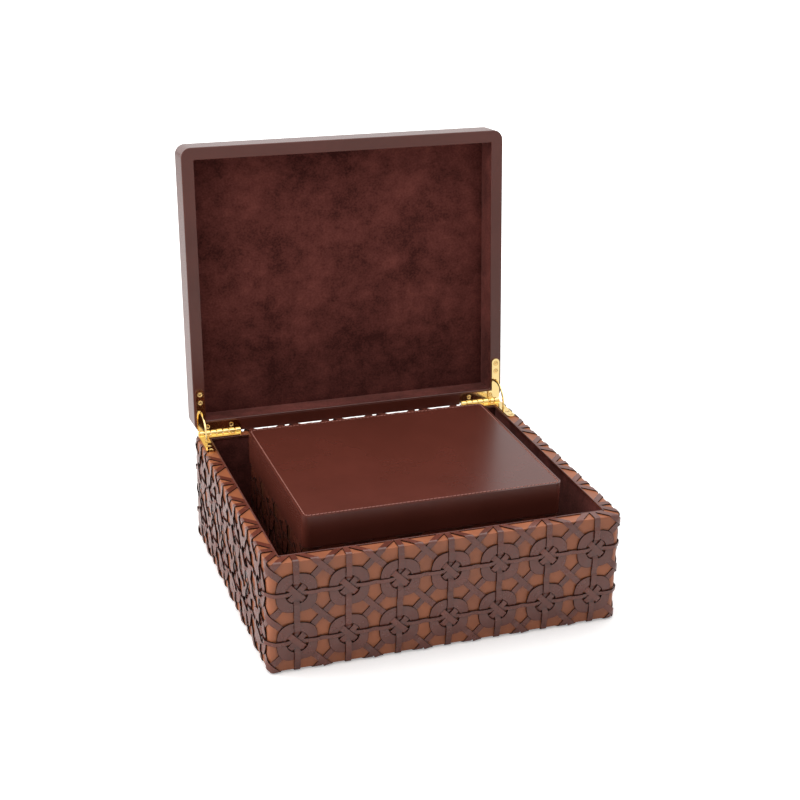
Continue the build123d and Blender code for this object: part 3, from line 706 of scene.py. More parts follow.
@dataclass
class Lattice:
    """Straps and rings woven round a box. They are cut and woven flat, then wrapped round the walls."""

    prefix: str
    body: str
    width: float
    depth: float
    bottom: float
    top: float
    corner: float
    columns: int
    row_heights: tuple[float, ...]
    row_pitch: float
    middle_y: float = 0.0
    rim: float = 0.0  # width of the rim that the straps cross, or nothing if they stop below it
    fold: float = 1.0  # radius of the folds over the edges
    strap: float = 4.9  # widths of the upright, level and slanting straps
    level_strap: float = 3.7
    slant: float = 4.9
    thickness: float = 1.0
    rise: float = 1.0  # share of the full lift between layers
    ring_across: float = 33.4
    ring_hole: float = 18.4
    ring_squareness: float = 2.9  # 2 is round; more is a square with round corners
    edge_dye_and_shade: float = 0.3  # width of the dyed chamfer along each cut edge, which is also painted shade of the gap beneath
    over_ring: float = 1.85  # middles of the straps above the leather, as shares of the rise
    off_ring: float = 0.8
    in_hole: float = 0.45
    rising_crest: float = 1.5
    falling_crest: float = 2.4
    left_slack: float = 0.0  # how far the straps stand off the left wall
    tuck_in: float = 6.0  # how far the straps run on inside the rim and under the bottom
    tuck_under: float = 5.0
    seed: int = 7
    leaf_zones: tuple[tuple[float, float], ...] = ()  # stretches of the way round that the hinge leaves cover

    def __post_init__(self) -> None:
        """Works out the sizes that follow."""
        self.front_flat = self.width - 2 * self.corner
        self.side_flat = self.depth - 2 * self.corner
        self.arc = math.pi * self.corner / 2
        self.perimeter = 2 * (self.front_flat + self.side_flat) + 4 * self.arc
        self.pitch = self.perimeter / self.columns
        self.chance = np.random.default_rng(self.seed)

    def section(self, height: np.ndarray, lift: np.ndarray) -> tuple[np.ndarray, np.ndarray]:
        """Follows the leather from under the bottom edge, up the wall, over the rim and down inside.

        Args:
            height: Distance along the leather; on the wall it is the height.
            lift: Distance off the leather.

        Returns:
            How far outside the wall's face each point is, and its height.
        """
        r = self.fold
        quarter = math.pi * r / 2
        low = height < self.bottom + r
        turn = np.clip((self.bottom + r - height) / r, 0, math.pi / 2)
        under = np.maximum(self.bottom + r - height - quarter, 0)
        outside = np.where(low, -r + (r + lift) * np.cos(turn) - under, lift)
        z = np.where(low, self.bottom + r - (r + lift) * np.sin(turn), height)
        if self.rim:
            past = height - (self.top - r)
            over = past > 0
            turn = np.clip(past / r, 0, math.pi / 2)
            flat = np.clip(past - quarter, 0, self.rim - 2 * r)
            outside = np.where(over, -r + (r + lift) * np.cos(turn) - flat, outside)
            z = np.where(over, self.top - r + (r + lift) * np.sin(turn), z)
            past = past - quarter - (self.rim - 2 * r)
            inside = past > 0
            turn = np.clip(past / r, 0, math.pi / 2)
            down = np.maximum(past - quarter, 0)
            outside = np.where(inside, -self.rim + r - (r + lift) * np.sin(turn), outside)
            z = np.where(inside, self.top - r + (r + lift) * np.cos(turn) - down, z)
        return outside, z

    def wrapped(self, points: np.ndarray) -> np.ndarray:
        """Wraps flat work round the box.

        Args:
            points: Way round, way up and lift of each point.

        Returns:
            Their places in the frame, in millimetres.
        """
        points = self.disturbed(points)
        way = np.mod(points[:, 0] + self.front_flat / 2, self.perimeter)
        outside, z = self.section(points[:, 1], points[:, 2])
        place = np.zeros_like(points)
        place[:, 2] = z
        start = 0.0
        for wall, flat in zip(Wall, (self.front_flat, self.side_flat) * 2):
            normal = np.array(wall.value, float)
            along = np.array(wall.along, float)
            half = (self.width / 2 if wall.value[0] else self.depth / 2, flat / 2)
            on_wall = (way >= start) & (way < start + flat)
            run = way - start - flat / 2
            spot = np.outer(half[0] + outside, normal) + np.outer(run, along)
            place[on_wall, :2] = spot[on_wall]
            turning = (way >= start + flat) & (way < start + flat + self.arc)
            angle = (way - start - flat) / self.corner
            centre = normal * (half[0] - self.corner) + along * half[1]
            reach = np.maximum(self.corner + outside, 0.05)
            radial = np.outer(np.cos(angle), normal) + np.outer(np.sin(angle), along)
            spot = centre + radial * reach[:, None]
            place[turning, :2] = spot[turning]
            start += flat + self.arc
        place[:, 1] += self.middle_y
        return place

    def flat_strip(self, name: str, length: float, width: float) -> bpy.types.Object:
        """A plain strip of leather on the bench, divided finely enough to weave.

        Args:
            name: Name of the strip.
            length: Length along X.
            width: Width along Y.

        Returns:
            The strip.
        """
        deselect()
        bpy.ops.mesh.primitive_grid_add(x_subdivisions=int(length / 1.3), y_subdivisions=2, size=1, location=(0, 0, 0))
        return added(name, (length, width, 1))

    def creased(self, piece: bpy.types.Object, along: int, shift: float) -> None:
        """Adds lines across a flat strap where it will fold over the box's edges.

        Args:
            piece: The strap.
            along: Axis that becomes the height, 0 or 1.
            shift: Height of the middle of the strap's own coordinates.
        """
        if not self.rim:
            return
        quarter = math.pi * self.fold / 2
        starts = (
            self.bottom + self.fold - quarter,
            self.top - self.fold,
            self.top - self.fold + quarter + self.rim - 2 * self.fold,
        )
        normal = Vector((1 - along, along, 0))
        choose(piece)
        bpy.ops.object.mode_set(mode="EDIT")
        for start in starts:
            for step in range(4):
                bpy.ops.mesh.select_all(action="SELECT")
                place = normal * (start + quarter * step / 3 - shift)
                bpy.ops.mesh.bisect(plane_co=place, plane_no=normal)
        bpy.ops.object.mode_set(mode="OBJECT")

    def toned(self, piece: bpy.types.Object) -> bpy.types.Object:
        """Gives a strap its own tone, since straps are cut from different places of the hide.

        Args:
            piece: The strap or ring.

        Returns:
            The same piece.
        """
        tone = piece.data.attributes.new("tone", "FLOAT", "POINT")
        tone.data.foreach_set("value", np.full(len(piece.data.vertices), self.chance.uniform(0.0, 1.0), np.float32))
        return piece

    def slack(self, way: np.ndarray, amount: float) -> np.ndarray:
        """Small waves of a strap that isn't drawn quite tight.

        Args:
            way: Way along the strap.
            amount: Height of the waves.

        Returns:
            Extra lift.
        """
        phase, length = self.chance.uniform(0, 6.28), self.chance.uniform(16, 26)
        return amount * (0.5 + 0.5 * np.sin(way / length * 6.28 + phase)) * self.chance.uniform(0.3, 1.0)

    def on_leaf(self, way: float, margin: float = 0.0) -> bool:
        """Whether a place on the rim lies under a hinge leaf.

        Args:
            way: Way round.
            margin: Room kept on both sides of a leaf.

        Returns:
            True under a leaf.
        """
        turned = (way + self.perimeter / 2) % self.perimeter - self.perimeter / 2
        places = [turned + laps * self.perimeter for laps in (-1, 0, 1)]
        return any(low - margin < place < high + margin for low, high in self.leaf_zones for place in places)

    def near_row(self, height: np.ndarray) -> np.ndarray:
        """Distance up or down to the nearest row of rings."""
        return np.min([np.abs(height - row) for row in self.row_heights], axis=0)

    def back_swell(self, way: np.ndarray, height: np.ndarray) -> np.ndarray:
        """Extra lift where slanting straps fold over the back rim, where nothing presses on them.

        Args:
            way: Way round.
            height: Way up.

        Returns:
            Extra lift.
        """
        swell = np.where(self.at_back(way), 0.9 * bool(self.rim), 0.0)
        return swell * self.eased(np.abs(height - self.top - 1), 2.5, 7.0)

    def looseness(self, way: np.ndarray, height: np.ndarray) -> np.ndarray:
        """Extra lift on the left wall, where the weave is slack and its straps stand off the leather.

        Args:
            way: Way round.
            height: Way up.

        Returns:
            Extra lift.
        """
        turned, share = self.slack_share(way, height)
        waves = 0.55 + 0.45 * np.sin(turned / 7.3 + 1.9 * np.sin(height / 11.0))
        return self.left_slack * share * waves

    def slack_share(self, way: np.ndarray, height: np.ndarray) -> tuple[np.ndarray, np.ndarray]:
        """How far each point lies on the slack left wall, away from its edges.

        Args:
            way: Way round.
            height: Way up.

        Returns:
            Way round from the middle of the front, and a share from nothing to one.
        """
        turned = np.mod(way + self.perimeter / 2, self.perimeter) - self.perimeter / 2
        middle = -(self.front_flat / 2 + self.arc + self.side_flat / 2)
        on_left = self.eased(np.abs(turned - middle), self.side_flat / 2 - 8, self.side_flat / 2 + 2)
        return turned, on_left * self.eased(np.abs(height - (self.top + self.bottom) / 2), 30, 41)

    def disturbed(self, points: np.ndarray) -> np.ndarray:
        """Draws the slack weave on the left wall out of line, as handling has.

        Args:
            points: Way round, way up and lift of each point.

        Returns:
            The same, out of line.
        """
        if not self.left_slack:
            return points
        turned, share = self.slack_share(points[:, 0], points[:, 1])
        height = points[:, 1]
        aside = 1.9 * np.sin(height / 8.5 + 2.2 * np.sin(turned / 19.0)) + 1.5 * np.sin(turned / 13.0 + height / 27.0)
        upward = 1.6 * np.sin(turned / 10.5 + 1.1) + 1.2 * np.sin(height / 12.0 - turned / 31.0)
        return points + np.column_stack([aside * share, upward * share, np.zeros(len(points))])

    def at_back(self, way: np.ndarray) -> np.ndarray:
        """Tells which points are on the back wall.

        Args:
            way: Way round.

        Returns:
            True at the back.
        """
        turned = np.abs(np.mod(way + self.perimeter / 2, self.perimeter) - self.perimeter / 2)
        return turned > self.front_flat / 2 + self.side_flat + 1.5 * self.arc

    @staticmethod
    def eased(distance: np.ndarray, near: float, far: float) -> np.ndarray:
        """A smooth step down.

        Args:
            distance: Distance of each point.
            near: One up to here.
            far: Nothing from here on.

        Returns:
            A share for each point.
        """
        share = np.clip((far - distance) / (far - near), 0, 1)
        return share * share * (3 - 2 * share)

    def crossing_lift(self, distance: np.ndarray, layer: float) -> np.ndarray:
        """Lift of an upright or level strap: over the ring, and down under the crossing in its hole.

        Args:
            distance: Distance from the ring's middle.
            layer: Extra lift in the hole, for the strap that lies over the other.

        Returns:
            Lift of the strap's middle.
        """
        over = self.eased(np.abs(distance - (self.ring_across + self.ring_hole) / 4), 3.6, 7.0)
        within = self.eased(distance, 6.4, 9.6)
        outside = self.off_ring + (self.over_ring - self.off_ring) * over
        return self.rise * (outside * (1 - within) + (self.in_hole + layer) * within)

    def bottom_way(self) -> float:
        """Distance along the leather at which a strap ends under the box."""
        return self.bottom + self.fold - math.pi * self.fold / 2 - self.tuck_under if self.rim else self.bottom

    def top_way(self) -> float:
        """Distance along the leather at which a strap ends inside the rim."""
        if not self.rim:
            return self.top
        return self.top - self.fold + math.pi * self.fold + self.rim - 2 * self.fold + self.tuck_in

    def trimmed(self, piece: bpy.types.Object, low: float, high: float) -> None:
        """Cuts a flat strap off at two heights.

        Args:
            piece: The strap.
            low: Lower height.
            high: Upper height.
        """
        for height, up in ((low, -1), (high, 1)):
            choose(piece)
            bpy.ops.object.mode_set(mode="EDIT")
            bpy.ops.mesh.select_all(action="SELECT")
            bpy.ops.mesh.bisect(plane_co=(0, height, 0), plane_no=(0, up, 0), clear_outer=True)
            bpy.ops.object.mode_set(mode="OBJECT")

    def thickened(
        self, pieces: Sequence[bpy.types.Object], name: str, nodes: Sequence[str], extra: float = 0.0
    ) -> None:
        """Gives wrapped straps their leather thickness, burnished cut edges (dark also as painted shade of the gaps
        beneath) and soft arrises, and finishes them.

        Args:
            pieces: Wrapped straps.
            name: What the joined piece is called after the lattice's own name.
            nodes: CAD nodes that it stands for.
            extra: How much thicker than the straps it is.
        """
        piece = join(pieces, f"{self.prefix}_{name}_woven")
        finishes = (strap_calf, strap_edge_and_shade)
        for finish in finishes:
            piece.data.materials.append(finish)
        thickness = self.thickness + extra
        modify(piece, "SOLIDIFY", thickness=thickness, offset=0.0, material_offset_rim=1, use_even_offset=False)
        # The chamfer takes the edge material: a dyed edge plus painted shade of the gap under the strap
        chamfer = {"width": self.edge_dye_and_shade, "segments": 1, "material": 1}
        modify(piece, "BEVEL", limit_method="ANGLE", angle_limit=math.radians(55), **chamfer)
        finish_piece(piece, self.body, finishes, nodes, smooth=32)

    def flat_ring(self) -> bpy.types.Object:
        """One flat ring on the bench, pressed up at its corners, where slanting straps pass beneath.

        Returns:
            The ring.
        """
        deselect()
        bpy.ops.mesh.primitive_circle_add(vertices=56, radius=1, fill_type="NOTHING", location=(0, 0, 0))
        ring = added("ring_pattern")
        choose(ring)
        bpy.ops.object.mode_set(mode="EDIT")
        bpy.ops.mesh.select_mode(type="EDGE")
        bpy.ops.mesh.select_all(action="SELECT")
        for share in (0.94, 0.82, 0.72, 0.6):
            bpy.ops.mesh.extrude_region_move()
            bpy.ops.transform.resize(value=(share, share, 1), orient_type="GLOBAL")
        bpy.ops.mesh.select_all(action="SELECT")
        bpy.ops.mesh.normals_make_consistent(inside=False)
        bpy.ops.object.mode_set(mode="OBJECT")
        points = coordinates(ring)
        reach = np.round(np.hypot(points[:, 0], points[:, 1]), 4)
        levels = np.unique(reach)
        rank = np.searchsorted(levels, reach) / (len(levels) - 1)
        angle = np.arctan2(points[:, 1], points[:, 0])
        outer, inner = self.ring_across / 2, self.ring_hole / 2
        radius = inner + (outer - inner) * rank
        # The outer edge is a square with round corners, which lie over the slanting straps
        n = self.ring_squareness
        square = (np.abs(np.cos(angle)) ** n + np.abs(np.sin(angle)) ** n) ** (-1 / n)
        radius = radius * (1 + rank * (square - 1))
        lift = self.rise * (1.15 + 0.4 * np.cos(4 * (angle - math.pi / 4)) - 0.25 * rank)
        flat = np.column_stack([radius * np.cos(angle), radius * np.sin(angle), lift])
        reshape(ring, lambda _: flat)
        if sum(polygon.normal.z for polygon in ring.data.polygons) < 0:
            ring.data.flip_normals()
        return ring

    def rings(self, nodes: Sequence[str]) -> None:
        """The rings, one for each column and row, held down by the upright and level straps.

        Args:
            nodes: CAD nodes that they stand for.
        """
        ring = self.flat_ring()
        copies = []
        for column in range(self.columns):
            for row in self.row_heights:
                piece = self.toned(copy_of(ring))
                tilt, lean = self.chance.uniform(-0.012, 0.012, 2)
                shift = self.chance.uniform(-0.35, 0.35, 2)

                def placed(p: np.ndarray) -> np.ndarray:
                    """Lays the ring at its column and row, very slightly askew, and wraps it.

                    Args:
                        p: Points of the flat ring.

                    Returns:
                        Their places.
                    """
                    p[:, 2] += p[:, 0] * tilt + p[:, 1] * lean + 5.0 * abs(tilt)
                    p[:, 0] += column * self.pitch + shift[0]
                    p[:, 1] += row + shift[1]
                    return self.wrapped(p)

                reshape(piece, placed)
                copies.append(piece)
        bpy.data.objects.remove(ring)
        self.thickened(copies, "rings", nodes, 0.1)

    def uprights(self, nodes: Sequence[str]) -> None:
        """The upright straps, one in each column.

        Args:
            nodes: CAD nodes that they stand for.
        """
        copies = []
        low = self.bottom_way()
        for column in range(self.columns):
            way = column * self.pitch
            high = self.top + 0.8 if self.on_leaf(way, self.strap / 2) else self.top_way()
            strap = self.flat_strip("upright", high - low, self.strap)
            self.creased(strap, 0, (high + low) / 2)
            self.toned(strap)

            def placed(p: np.ndarray) -> np.ndarray:
                """Stands the strap up in its column, weaves it and wraps it.

                Args:
                    p: Points of the flat strap.

                Returns:
                    Their places.
                """
                height = p[:, 0] + (high + low) / 2
                lift = self.crossing_lift(self.near_row(height), 0.0)
                past_rings = height > self.row_heights[-1] + 18
                lift = np.where(past_rings, np.maximum(0.5 * self.rise + 0.02, lift), lift)
                on_wall = (height < self.top - 4) & (height > self.bottom + 4)
                held = np.minimum(lift, 0.5 * self.thickness + 0.05)
                lift = np.where(on_wall, lift + self.slack(height, 0.22 * self.rise), held)
                across = way - p[:, 1]
                lift = lift + 0.5 * self.looseness(across, height)
                sway = 0.35 * np.sin(height / 31.0 + column * 1.7)
                return self.wrapped(np.column_stack([across + sway, height, lift]))

            reshape(strap, placed)
            copies.append(strap)
        self.thickened(copies, "upright_straps", nodes)

    def levels(self, nodes: Sequence[str]) -> None:
        """The level straps, one round the box in each row.

        Args:
            nodes: CAD nodes that they stand for.
        """
        copies = []
        for row in self.row_heights:
            strap = self.toned(self.flat_strip("level", self.perimeter, self.level_strap))

            def placed(p: np.ndarray) -> np.ndarray:
                """Weaves the strap over the rings and under the crossings, and wraps it.

                Args:
                    p: Points of the flat strap.

                Returns:
                    Their places.
                """
                way = p[:, 0] + self.perimeter / 2
                distance = np.abs(np.mod(way + self.pitch / 2, self.pitch) - self.pitch / 2)
                lift = self.crossing_lift(distance, 0.55) + self.slack(way, 0.15 * self.rise)
                sway = 0.3 * np.sin(way * 2 * math.pi * 5 / self.perimeter + row)
                return self.wrapped(np.column_stack([way, row + p[:, 1] + sway, lift]))

            reshape(strap, placed)
            modify(strap, "WELD", merge_threshold=0.05)
            copies.append(strap)
        self.thickened(copies, "level_straps", nodes)

    def slanting(self, lean: int, nodes: Sequence[str]) -> None:
        """One family of slanting straps: under the rings, over the crossing in each hole, flat between.

        Args:
            lean: 1 for straps that rise to the right, -1 for those that fall.
            nodes: CAD nodes that they stand for.
        """
        low = self.bottom_way()
        slope = self.row_pitch / self.pitch
        stretch = math.hypot(1, 1 / slope)
        angle = math.atan2(slope, lean)
        run = np.array([math.cos(angle), math.sin(angle)])
        side = np.array([-run[1], run[0]])
        step = self.row_pitch * stretch
        rest = 0.42 * self.thickness
        crest = self.rise * (self.rising_crest if lean > 0 else self.falling_crest)
        copies = []
        for column in range(self.columns):
            way = column * self.pitch
            crossing_way = way + lean * (self.top - self.row_heights[0]) / slope
            high = self.top + 0.8 if self.on_leaf(crossing_way, 4.0) else self.top_way()
            middle = (high + low) / 2
            # Cut longer than it is and pressed together, which divides it more finely than the other straps
            strap = self.flat_strip("slanting", 1.3 * ((high - low) * stretch + 3 * self.slant), self.slant)
            strap.data.transform(Matrix.Scale(1 / 1.3, 4, (1, 0, 0)))

            def laid(p: np.ndarray) -> np.ndarray:
                """Lays the strap at its slant, in flat work.

                Args:
                    p: Points of the strap.

                Returns:
                    Their way round, way up and lift.
                """
                flat = np.outer(p[:, 0], run) + np.outer(p[:, 1], side)
                flat += (way + lean * (middle - self.row_heights[0]) / slope, middle)
                return np.column_stack([flat, p[:, 2]])

            reshape(strap, laid)
            self.trimmed(strap, low, high)
            self.creased(strap, 1, 0.0)
            self.toned(strap)

            def woven(p: np.ndarray) -> np.ndarray:
                """Weaves the strap by its distance from the rings and from the crossings between them.

                Args:
                    p: Way round, way up and lift in flat work.

                Returns:
                    Places in the frame.
                """
                height = p[:, 1]
                along = (p[:, 0] - way) * run[0] + (height - self.row_heights[0]) * run[1]
                from_ring = np.min([np.abs(along - step * row) for row in range(len(self.row_heights))], axis=0)
                lift = rest + (crest - rest) * self.eased(from_ring, 6.6, 9.8)
                if lean < 0:
                    from_middle = np.abs(np.mod(along, step) - step / 2)
                    lift = lift + 0.85 * self.thickness * self.eased(from_middle, 3.4, 8.0)
                lift = np.where(height > self.top, rest + (0.1 if lean < 0 else 0.0), lift)
                lift = lift + self.back_swell(p[:, 0], height) + self.looseness(p[:, 0], height)
                return self.wrapped(np.column_stack([p[:, 0], height, lift]))

            reshape(strap, woven)
            if self.faces_in(strap):
                strap.data.flip_normals()
            copies.append(strap)
        self.thickened(copies, "rising_straps" if lean > 0 else "falling_straps", nodes)

    def faces_in(self, piece: bpy.types.Object) -> bool:
        """Whether a wrapped strap's faces look at the box instead of away from it.

        Args:
            piece: The strap.

        Returns:
            True if they look inward.
        """
        middle = Vector((0, self.middle_y, (self.top + self.bottom) / 2))
        score = sum((polygon.center - middle).normalized().dot(polygon.normal) for polygon in piece.data.polygons)
        return score < 0


# ---------------------------------------------------------------------------
# Outer box
# ---------------------------------------------------------------------------


@dataclass
class OuterBox:
    """The base: tan leather over boards, suede inside, felt under."""

    width: float = 300.0
    depth: float = 258.5
    height: float = 97.0
    corner: float = 6.5
    rim: float = 11.0
    felt: float = 1.5
    leather: float = 1.5
    lining: float = 2.0
    floor: float = 8.0  # height of the bottom board's top
    felt_border: float = 12.0
    hinge_length: float = 41.0  # each leaf's arm along the side rim
    strip_half: float = 107.9  # half the stretch of back rim between the hinges

    @property
    def mouth(self) -> tuple[float, float]:
        """Width and depth of the opening inside the rim."""
        return self.width - 2 * self.rim, self.depth - 2 * self.rim

    def cover(self) -> None:
        """Leather cover: a shell with rounded corners and a folded rim."""
        middle = (self.height + self.felt) / 2
        tall, inner, under = self.height - self.felt, 2 * self.leather, 2 * self.felt_border
        piece = block("base_leather", (self.width, self.depth, tall), (0, 0, middle), self.corner)
        inside = (self.width - inner, self.depth - inner, tall - inner)
        cut(piece, block("hollow", inside, (0, 0, middle), self.corner - self.leather))
        cut(piece, block("mouth", (*self.mouth, 6), (0, 0, self.height)))
        cut(piece, block("under", (self.width - under, self.depth - under, 4), (0, 0, self.felt)))
        soften(piece, 0.9, 3)
        finish_piece(piece, "base", (tan_calf,), ("base_leather_cover",), flat_faces=True)

    def linings(self) -> None:
        """Suede on the four walls and the floor."""
        line_walls("base", self.mouth, self.floor, self.height - self.leather, self.lining)
        size = (self.mouth[0] + LINING_OVERLAP, self.mouth[1] + LINING_OVERLAP, self.lining)
        pad = lining_pad("base_lining_floor", size, 0.6)
        lay_suede(pad, Matrix.Translation((0, 0, self.floor)) @ NAP_UP, "base", ("base_floor_lining",))

    def binding(self) -> None:
        """Thin dark leather cord along the rim's inner edge, which covers the straps' ends."""
        width, depth = self.mouth[0] - 0.2, self.mouth[1] - 0.2
        piece = bead("base_rim_binding", width, depth, 0.0, 1.2, self.height + 0.45, 0.8)
        finish_piece(piece, "base", (lid_calf,))

    def lattice(self) -> None:
        """The woven straps all round."""
        columns, room = 26, 0.3
        front_half, side_half = self.width / 2 - self.corner, self.depth / 2 - self.corner
        arc = math.pi * self.corner / 2
        pitch = (4 * (front_half + side_half) + 4 * arc) / columns
        side_start = front_half + arc + side_half + self.depth / 2 - self.hinge_length - room
        back_end = 2 * (front_half + arc + side_half) - self.strip_half + room
        woven = Lattice(
            prefix="lattice",
            body="base",
            width=self.width,
            depth=self.depth,
            bottom=self.felt,
            top=self.height,
            corner=self.corner,
            columns=columns,
            row_heights=(self.height / 2 - pitch / 2, self.height / 2 + pitch / 2),
            row_pitch=pitch,
            rim=self.rim,
            left_slack=1.25,
            tuck_in=-0.8,
            leaf_zones=((side_start, back_end), (-back_end, -side_start)),
        )
        woven.rings(("lattice_rings",))
        woven.uprights(("lattice_upright_straps",))
        woven.levels(("lattice_level_straps",))
        woven.slanting(1, ("lattice_rising_straps",))
        woven.slanting(-1, ("lattice_falling_straps",))

    def build(self) -> None:
        """Builds and dresses the base."""
        self.cover()
        self.linings()
        self.binding()
        self.lattice()


# ---------------------------------------------------------------------------
# Outer lid
# ---------------------------------------------------------------------------


@dataclass
class OuterLid:
    """The lid, modelled shut with its rim at zero and its top up, then swung open to where it rests."""

    width: float = 300.0
    depth: float = 258.5
    height: float = 30.0
    corner: float = 9.0
    edge: float = 3.5
    rim: float = 11.0
    leather: float = 1.5
    ceiling: float = 26.0
    angle: float = 95.2
    hinge: tuple[float, float] = (129.25, 99.2)  # Y and Z of the pin
    gap: float = 2.2

    @property
    def place(self) -> Matrix:
        """Turns the shut lid about the pin to its open place."""
        to_pin = Matrix.Translation((0, -self.depth / 2, self.gap))
        return Matrix.Translation((0, *self.hinge)) @ swung_open(self.angle) @ to_pin

    def cover(self) -> None:
        """Leather shell with rounded corners and a rolled top edge."""
        middle, inner = (0, 0, self.height / 2), 2 * self.leather
        piece = block("lid_leather", (self.width, self.depth, self.height), middle, self.corner, 10)
        pick(piece, False, lambda m, d: m.z > self.height - 0.01 and abs(d.z) < 0.1)
        bpy.ops.mesh.bevel(offset=self.edge, segments=6, affect="EDGES")
        bpy.ops.object.mode_set(mode="OBJECT")
        inside = (self.width - inner, self.depth - inner, self.height - inner)
        cut(piece, block("hollow", inside, middle, self.corner - self.leather))
        cut(piece, block("mouth", (self.width - 2 * self.rim, self.depth - 2 * self.rim, 6), (0, 0, 0)))
        soften(piece, 1.0, 3, 50)
        nodes = ("lid_leather_cover",)
        finish_piece(piece, "lid", (lid_calf,), nodes, self.place, flat_faces=True)

    def linings(self) -> None:
        """Suede strips round the recess and a panel on its floor."""
        mouth = (self.width - 2 * self.rim, self.depth - 2 * self.rim)
        line_walls("lid", mouth, self.leather, self.ceiling, 1.7, self.place)
        pad = lining_pad("lid_lining_panel", (mouth[0] + LINING_OVERLAP, mouth[1] + LINING_OVERLAP, 1.5), 0.5)
        turn = Matrix.Translation((0, 0, self.ceiling)) @ NAP_DOWN
        lay_suede(pad, turn, "lid", ("lid_panel_lining",), self.place)

    def rim_strip(self) -> None:
        """Leather strip on the back rim, between the hinges."""
        low, high = self.depth / 2 - 9.5, self.depth / 2 + 1.15
        piece = block("lid_rim_strip_leather", (215.2, high - low, 0.8), (0, (low + high) / 2, -0.4), 0.4, 2)
        soften(piece, 0.25, 2)
        nodes = ("lid_back_rim_strip",)
        finish_piece(piece, "lid", (lid_calf,), nodes, self.place, flat_faces=True)

    def build(self) -> None:
        """Builds and dresses the lid."""
        self.cover()
        self.linings()
        self.rim_strip()


# ---------------------------------------------------------------------------
# Stop hinges
# ---------------------------------------------------------------------------


